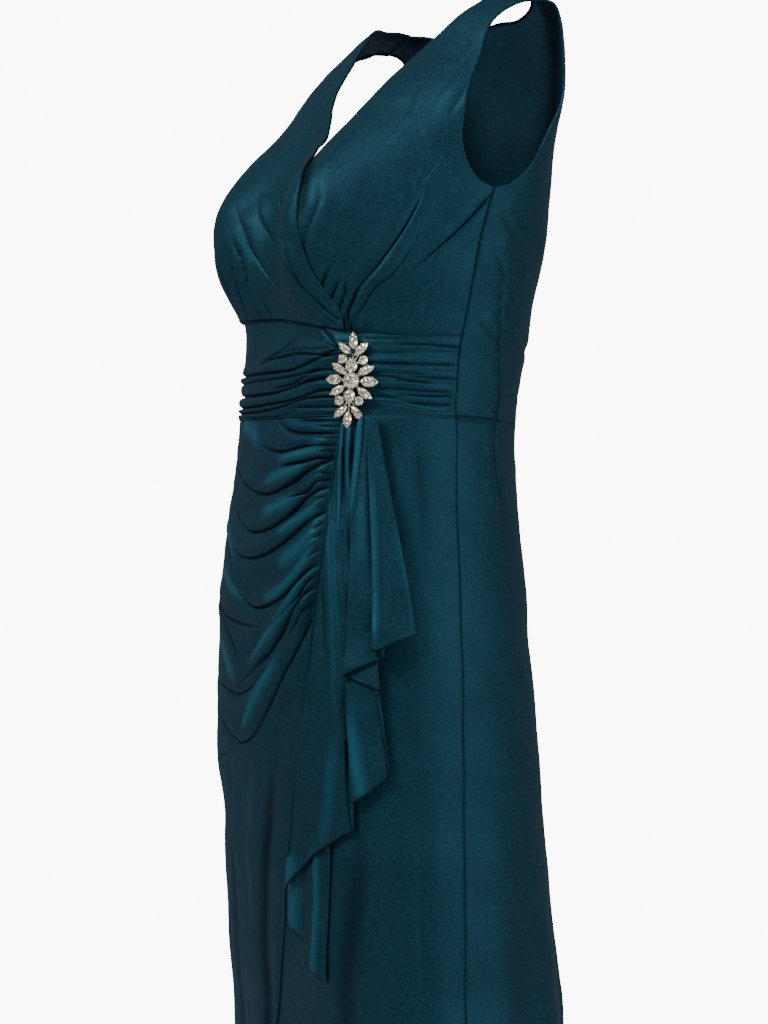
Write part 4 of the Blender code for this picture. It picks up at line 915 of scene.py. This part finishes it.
# cups: height in shares of the stone's width; wall, rounding of the edges and depth of the rebate in metres;
# and shares of the stone's outline from the foot up, round the rim and down to the floor
CUP_HEIGHT, CUP_WALL, CUP_EDGE, CUP_REBATE = 0.22, 0.00045, 0.0004, 0.0002
CUP_FOOT, CUP_OUTER, CUP_INNER, CUP_FLOOR, CUP_FLOOR_LEVEL = 0.96, 1.02, 0.97, 0.9, 0.0006
CLAWS, ROUND_CLAWS = (0, 62, 118, 180, 242, 298), (45, 135, 225, 315)
CLAW_RADIUS, CLAW_FORM, CLAW_IN = 0.00062, (1.15, 0.75, 1.0), 0.985
BAR_RADIUS = 0.0011


def brooch_frame():
    """A matrix from the brooch's own plane to its place on the waistband."""
    here = (BROOCH_ANGLE, BROOCH_TAPE)
    normal = outward(*here)
    up = figure(here[0], here[1] - BROOCH_REACH) - figure(here[0], here[1] + BROOCH_REACH)
    up = up - normal * np.dot(up, normal)
    up = up / np.linalg.norm(up)
    right = np.cross(up, normal)
    seat = figure(*here) + normal * (WALL + BROOCH_STAND)
    place = Matrix.Identity(4)
    for column, axis in enumerate((right, up, normal, seat)):
        for row in range(3):
            place[row][column] = axis[row]
    return place


def outline(shape, angle, length, width):
    """A point of a stone's outline, in its own plane."""
    across, up = math.cos(angle), math.sin(angle)
    if shape == "marquise":
        up = up * math.sqrt(abs(up))
    if shape == "pear":
        tip = max(across, 0.0)
        up = up * abs(up) ** (PEAR_POINT * tip) * (1 - PEAR_TAPER * across)
    return Vector((across * length / 2, up * width / 2, 0.0))


def stone_place(row):
    spot = Matrix.Translation((row["across"] * MM, row["up"] * MM, 0.0))
    return BROOCH @ spot @ Matrix.Rotation(math.radians(row["turn"]), 4, "Z")


def ringed(bm, row, profile, sides):
    """Rings of a stone's outline, one above the other, joined by walls and closed at both ends."""
    length, width = row["length"] * MM, row["width"] * MM
    step = 2 * math.pi / sides
    verts = bmesh.ops.create_circle(bm, cap_ends=False, segments=sides, radius=1.0)["verts"]
    edges = bm.edges[:]
    lowest, bearing = verts, {vert: math.atan2(vert.co.y, vert.co.x) for vert in verts}
    for level, (size, height, turn) in enumerate(profile):
        if level:
            grown = bmesh.ops.extrude_edge_only(bm, edges=edges)["geom"]
            verts = [item for item in grown if isinstance(item, bmesh.types.BMVert)]
            edges = [item for item in grown if isinstance(item, bmesh.types.BMEdge)
                     and all(vert in verts for vert in item.verts)]
            below = {vert: next(edge.other_vert(vert) for edge in vert.link_edges
                                if edge.other_vert(vert) in bearing) for vert in verts}
            bearing = {vert: bearing[below[vert]] for vert in verts}
        for vert in verts:
            point = outline(row["shape"], bearing[vert] + turn * step, length, width)
            vert.co = (point.x * size, point.y * size, height)
    for ring in (lowest, verts):
        bmesh.ops.contextual_create(bm, geom=ring)


def joined_piece(name, meshes, smooth_angle):
    """One piece from several bmeshes, with its edges sharp from an angle up."""
    whole = bmesh.new()
    for part in meshes:
        bmesh.ops.recalc_face_normals(part, faces=part.faces[:])
        copy = bpy.data.meshes.new("part")
        part.to_mesh(copy)
        part.free()
        whole.from_mesh(copy)
        bpy.data.meshes.remove(copy)
    mesh = bpy.data.meshes.new(name)
    whole.to_mesh(mesh)
    whole.free()
    if smooth_angle:
        mesh.shade_smooth()
        mesh.set_sharp_from_angle(angle=math.radians(smooth_angle))
    return placed(name, mesh)


def stones():
    parts = []
    for row in STONE_ROWS:
        width = row["width"] * MM
        profile = [(size, PLATE + (height + STONE_RISE) * width, turn) for size, height, turn in CROWN]
        part = bmesh.new()
        ringed(part, row, profile, STONE_SIDES)
        bmesh.ops.triangulate(part, faces=[face for face in part.faces if len(face.verts) == 4])
        part.transform(stone_place(row))
        parts.append(part)
    return joined_piece("brooch_stones", parts, 0)


def cup(row, girdle):
    """The metal cup round one stone, up to its girdle."""
    wall = CUP_WALL / (row["width"] * MM / 2)
    profile = [(CUP_FOOT, 0.0, 0.0), (CUP_OUTER, CUP_EDGE, 0.0), (CUP_OUTER + wall * 0.4, girdle, 0.0),
               (1.0 + wall * 0.1, girdle + CUP_EDGE, 0.0), (CUP_INNER, girdle - CUP_REBATE, 0.0),
               (CUP_FLOOR, CUP_FLOOR_LEVEL, 0.0)]
    part = bmesh.new()
    ringed(part, row, profile, CUP_SIDES)
    part.transform(stone_place(row))
    return part


def claw(row, girdle, bearing):
    """A bead of metal over the edge of a stone."""
    spot = outline(row["shape"], math.radians(bearing), row["length"] * MM, row["width"] * MM)
    part = bmesh.new()
    bmesh.ops.create_uvsphere(part, u_segments=10, v_segments=8, radius=CLAW_RADIUS)
    bmesh.ops.scale(part, vec=CLAW_FORM, verts=part.verts[:])
    part.transform(Matrix.Translation((spot.x * CLAW_IN, spot.y * CLAW_IN, girdle + CUP_EDGE))
                   @ Matrix.Rotation(math.atan2(spot.y, spot.x), 4, "Z"))
    part.transform(stone_place(row))
    return part


def bar(start, stop):
    """A round bar between the middles of two stones."""
    part = bmesh.new()
    bmesh.ops.create_cone(part, cap_ends=True, segments=12, radius1=BAR_RADIUS, radius2=BAR_RADIUS,
                          depth=(stop - start).length)
    part.transform(Matrix.Rotation(math.radians(90), 4, "Y"))
    part.transform(Matrix.Rotation(math.atan2(stop.y - start.y, stop.x - start.x), 4, "Z"))
    middle = (start + stop) / 2
    part.transform(BROOCH @ Matrix.Translation((middle.x, middle.y, BAR_RADIUS)))
    return part


def settings():
    """The metal under and round the stones: cups, claws and the bars that join them."""
    parts = []
    for row in STONE_ROWS:
        girdle = PLATE + CUP_HEIGHT * (row["width"] * MM)
        parts.append(cup(row, girdle))
        bearings = ROUND_CLAWS if row["shape"] == "round" else CLAWS
        parts += [claw(row, girdle, bearing) for bearing in bearings]
        start, stop = (Vector((end["across"], end["up"])) * MM for end in (row, STONE_ROWS[row["joins"]]))
        if (stop - start).length > MM:
            parts.append(bar(start, stop))
    return joined_piece("brooch_metal", parts, 40)


BROOCH = brooch_frame()


# ---- finishes
class Wire:
    """A socket of a finish, with arithmetic that adds the nodes for it."""

    def __init__(self, finish, socket):
        self.finish, self.socket = finish, socket

    def worked(self, operation, other):
        return self.finish.node("ShaderNodeMath", {"operation": operation}, {0: self, 1: other})

    def __add__(self, other):
        return self.worked("ADD", other)

    def __mul__(self, other):
        return self.worked("MULTIPLY", other)


class Finish:
    """A material under way: its nodes, and its shader's sockets."""

    def __init__(self, name):
        self.material = bpy.data.materials.new(name)
        self.material.use_nodes = True
        self.tree = self.material.node_tree
        self.shader = self.tree.nodes["Principled BSDF"]
        self.where = self.node("ShaderNodeTexCoord", output=3)

    def node(self, kind, settings=None, inputs=None, output=0):
        made = self.tree.nodes.new(kind)
        for setting, value in (settings or {}).items():
            setattr(made, setting, value)
        for key, value in (inputs or {}).items():
            self.feed(made.inputs[key], value)
        return Wire(self, made.outputs[output])

    def feed(self, socket, value):
        if isinstance(value, Wire):
            self.tree.links.new(value.socket, socket)
        else:
            socket.default_value = value

    def set(self, **sockets):
        for key, value in sockets.items():
            self.feed(self.shader.inputs[key.replace("_", " ")], value)

    def mix(self, share, first, second):
        return self.node("ShaderNodeMix", {"data_type": "RGBA"}, {0: share, 6: first, 7: second}, 2)

    def noise(self, scale, detail=2.0, roughness=0.5):
        return self.node("ShaderNodeTexNoise", {}, {"Vector": self.where, "Scale": scale, "Detail": detail,
                                                    "Roughness": roughness})

    def cells(self, scale, output):
        return self.node("ShaderNodeTexVoronoi", {"feature": "F1"}, {"Vector": self.where, "Scale": scale},
                         output)

    def between(self, value, low, high, to_low=0.0, to_high=1.0):
        return self.node("ShaderNodeMapRange", {}, {"Value": value, "From Min": low, "From Max": high,
                                                    "To Min": to_low, "To Max": to_high})

    def bump(self, height, distance, strength=1.0):
        return self.node("ShaderNodeBump", {}, {"Height": height, "Distance": distance, "Strength": strength})


# colours, each from dark to light
# the darkest jersey colour is painted shade for the creases, and the last colour of the next line a painted
# highlight for the ridges
JERSEY_PAINTED_SHADE, JERSEY = (0.0024, 0.0070, 0.0100, 1.0), (0.0068, 0.0215, 0.0320, 1.0)
JERSEY_LIGHT, PAINTED_RIDGE_HIGHLIGHT = (0.0125, 0.0450, 0.0700, 1.0), (0.0190, 0.0850, 0.1250, 1.0)
SHEEN_TINT = (0.12, 0.50, 0.72, 1.0)
CRYSTALS = (0.40, 0.36, 0.24, 1.0), (0.92, 0.88, 0.76, 1.0)
SILVERS = (0.36, 0.34, 0.29, 1.0), (0.72, 0.70, 0.64, 1.0)
FLOORS = (0.86, 0.86, 0.86, 1.0), (0.90, 0.90, 0.90, 1.0)


def jersey():
    """Knit cloth: grain and stitches, with painted shade in the creases and a painted highlight on the ridges
    beside them.
    """
    finish = Finish("teal_jersey")
    speckle = finish.noise(860.0, 2.0, 0.7)
    stitches = finish.noise(1300.0, 1.0, 0.5)
    crepe = finish.noise(240.0, 3.0, 0.6)
    cloudy = finish.noise(16.0, 3.0)
    painted_shade_and_highlight = finish.node("ShaderNodeAttribute", {"attribute_name": "painted_shade_and_highlight"}, output=2)
    grain = speckle * 0.75 + crepe * 0.25
    colour = finish.mix(finish.between(grain, 0.39, 0.63), JERSEY, JERSEY_LIGHT)
    colour = finish.mix(finish.between(cloudy, 0.35, 0.7, 0.0, 0.3), colour, JERSEY)
    # painted shade in the creases, where the points' value is above 0
    colour = finish.mix(finish.between(painted_shade_and_highlight, 0.1, 0.8, 0.0, 0.9), colour, JERSEY_PAINTED_SHADE)
    # painted highlight on the ridges, where the points' value is below 0
    colour = finish.mix(finish.between(painted_shade_and_highlight, -0.1, -1.0, 0.0, 0.75), colour, PAINTED_RIDGE_HIGHLIGHT)
    knit = finish.bump(stitches * 0.5 + grain * 0.5, 0.0006, 0.8)
    finish.set(Base_Color=colour, Roughness=finish.between(grain, 0.35, 0.65, 0.38, 0.52), Normal=knit)
    finish.set(Metallic=0.35, Specular_IOR_Level=0.12, Specular_Tint=SHEEN_TINT)
    return finish.material


def crystal():
    finish = Finish("pale_crystal")
    warm = finish.mix(finish.between(finish.cells(620.0, 1), 0.2, 0.8), *CRYSTALS)
    facets = finish.bump(finish.cells(380.0, 0), 0.0006)
    finish.set(Base_Color=warm, Roughness=0.07, Metallic=0.75, Normal=facets)
    finish.set(Coat_Weight=1.0, Coat_Roughness=0.02)
    return finish.material


def silver():
    finish = Finish("silver_metal")
    worn = finish.noise(700.0, 3.0)
    finish.set(Base_Color=finish.mix(finish.between(worn, 0.35, 0.65), *SILVERS), Metallic=1.0,
               Roughness=finish.between(worn, 0.3, 0.7, 0.22, 0.36))
    return finish.material


def pale_floor():
    finish = Finish("pale_floor")
    finish.set(Base_Color=finish.mix(finish.between(finish.noise(3.0), 0.3, 0.7), *FLOORS), Roughness=0.7)
    return finish.material


# ---- the dress
CLOTH_FINISH = jersey()
# for each panel: the solid it replaces, width and length of its cut, its flat area (the plain panel's surface
# times its fullness), how it is held and what it rests on
PANELS = (
    (front_right, "bodice_front_right", (0.42, 0.46), 0.082, "gathered", ()),
    (front_left, "bodice_front_left", (0.30, 0.45), 0.059, "gathered", ()),
    (back, "bodice_back", (0.41, 0.43), 0.140, "stretched", ()),
    (waist_right, "midriff_right", (0.33, 0.12), 0.034, "gathered", ()),
    (waist_left, "midriff_left", (0.10, 0.10), 0.008, "gathered", ()),
    (skirt_drape, "skirt_drape_right", (0.40, 0.88), 0.224, "gathered", ()),
    (skirt_left, "skirt_front_left", (0.28, 0.79), 0.139, "hung", ()),
    (skirt_back, "skirt_back", (0.60, 0.77), 0.394, "hung", ()),
    (cascade, "cascade", (0.59, 0.49), 0.089, "folded", ("skirt_left",)),
)
for make, node, flat, area, held, rests_on in PANELS:
    panel = make()
    panel.data.materials.append(CLOTH_FINISH)
    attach(panel, "root")
    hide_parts(node)

crystals = stones()
crystals.data.materials.append(crystal())
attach(crystals, "root")
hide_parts(*["stone_{:02d}".format(number) for number in range(1, len(STONES) + 1)])
metal = settings()
metal.data.materials.append(silver())
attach(metal, "root")
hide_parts("brooch_setting")

# ---- floor, light and camera
FLOOR_LEVEL, FLOOR_RADIUS = -1.45, 3.2
SEEN_WHITE, ROOM_GLOW = 10.0, 0.22
floor_mesh = bpy.data.meshes.new("floor")
floor_bm = bmesh.new()
bmesh.ops.create_circle(floor_bm, cap_ends=True, segments=96, radius=FLOOR_RADIUS)
floor_bm.transform(Matrix.Translation((0.0, 0.0, FLOOR_LEVEL)))
floor_bm.to_mesh(floor_mesh)
floor_bm.free()
floor = placed("floor", floor_mesh)
floor.data.materials.append(pale_floor())

world = bpy.data.worlds.new("studio")
bpy.context.scene.world = world
world.use_nodes = True
backdrop, glow = world.node_tree.nodes["Background"], world.node_tree.nodes.new("ShaderNodeBackground")
backdrop.inputs["Strength"].default_value = SEEN_WHITE
glow.inputs["Strength"].default_value = ROOM_GLOW
for node in (backdrop, glow):
    node.inputs["Color"].default_value = (1.0, 1.0, 1.0, 1.0)
ray, either = (world.node_tree.nodes.new(kind) for kind in ("ShaderNodeLightPath", "ShaderNodeMixShader"))
for start, end in ((ray.outputs["Is Camera Ray"], either.inputs[0]), (glow.outputs[0], either.inputs[1]),
                   (backdrop.outputs[0], either.inputs[2]),
                   (either.outputs[0], world.node_tree.nodes["World Output"].inputs["Surface"])):
    world.node_tree.links.new(start, end)

VIEW_AZIMUTH = math.radians(62.0)
CAMERA_AIM = Vector((-0.0334, -0.0628, -0.4563))
CAMERA_AWAY = 3.6
LENS, SENSOR = 140.6, 36.0


def lamp(name, azimuth, elevation, distance, size, power):
    """A soft square light aimed at the dress, placed by its bearing from the camera's side."""
    data = bpy.data.lights.new(name, "AREA")
    data.energy, data.size = power, size
    light = placed(name, data)
    bearing, height = VIEW_AZIMUTH + math.radians(azimuth), math.radians(elevation)
    away = Vector((math.sin(bearing) * math.cos(height), -math.cos(bearing) * math.cos(height),
                   math.sin(height)))
    light.location = CAMERA_AIM + away * distance
    light.rotation_euler = away.to_track_quat("Z", "Y").to_euler()


lamp("key", -54, 40, 2.6, 0.9, 71)
lamp("fill", 50, 10, 3.4, 1.6, 72)
lamp("top", 10, 70, 2.8, 1.4, 14)

lens = bpy.data.cameras.new("camera")
lens.lens, lens.sensor_width, lens.sensor_fit = LENS, SENSOR, "AUTO"
camera = placed("camera", lens)
towards = Vector((math.sin(VIEW_AZIMUTH), -math.cos(VIEW_AZIMUTH), 0.0))
camera.location = CAMERA_AIM + towards * CAMERA_AWAY
camera.rotation_euler = towards.to_track_quat("Z", "Y").to_euler()
bpy.context.scene.camera = camera
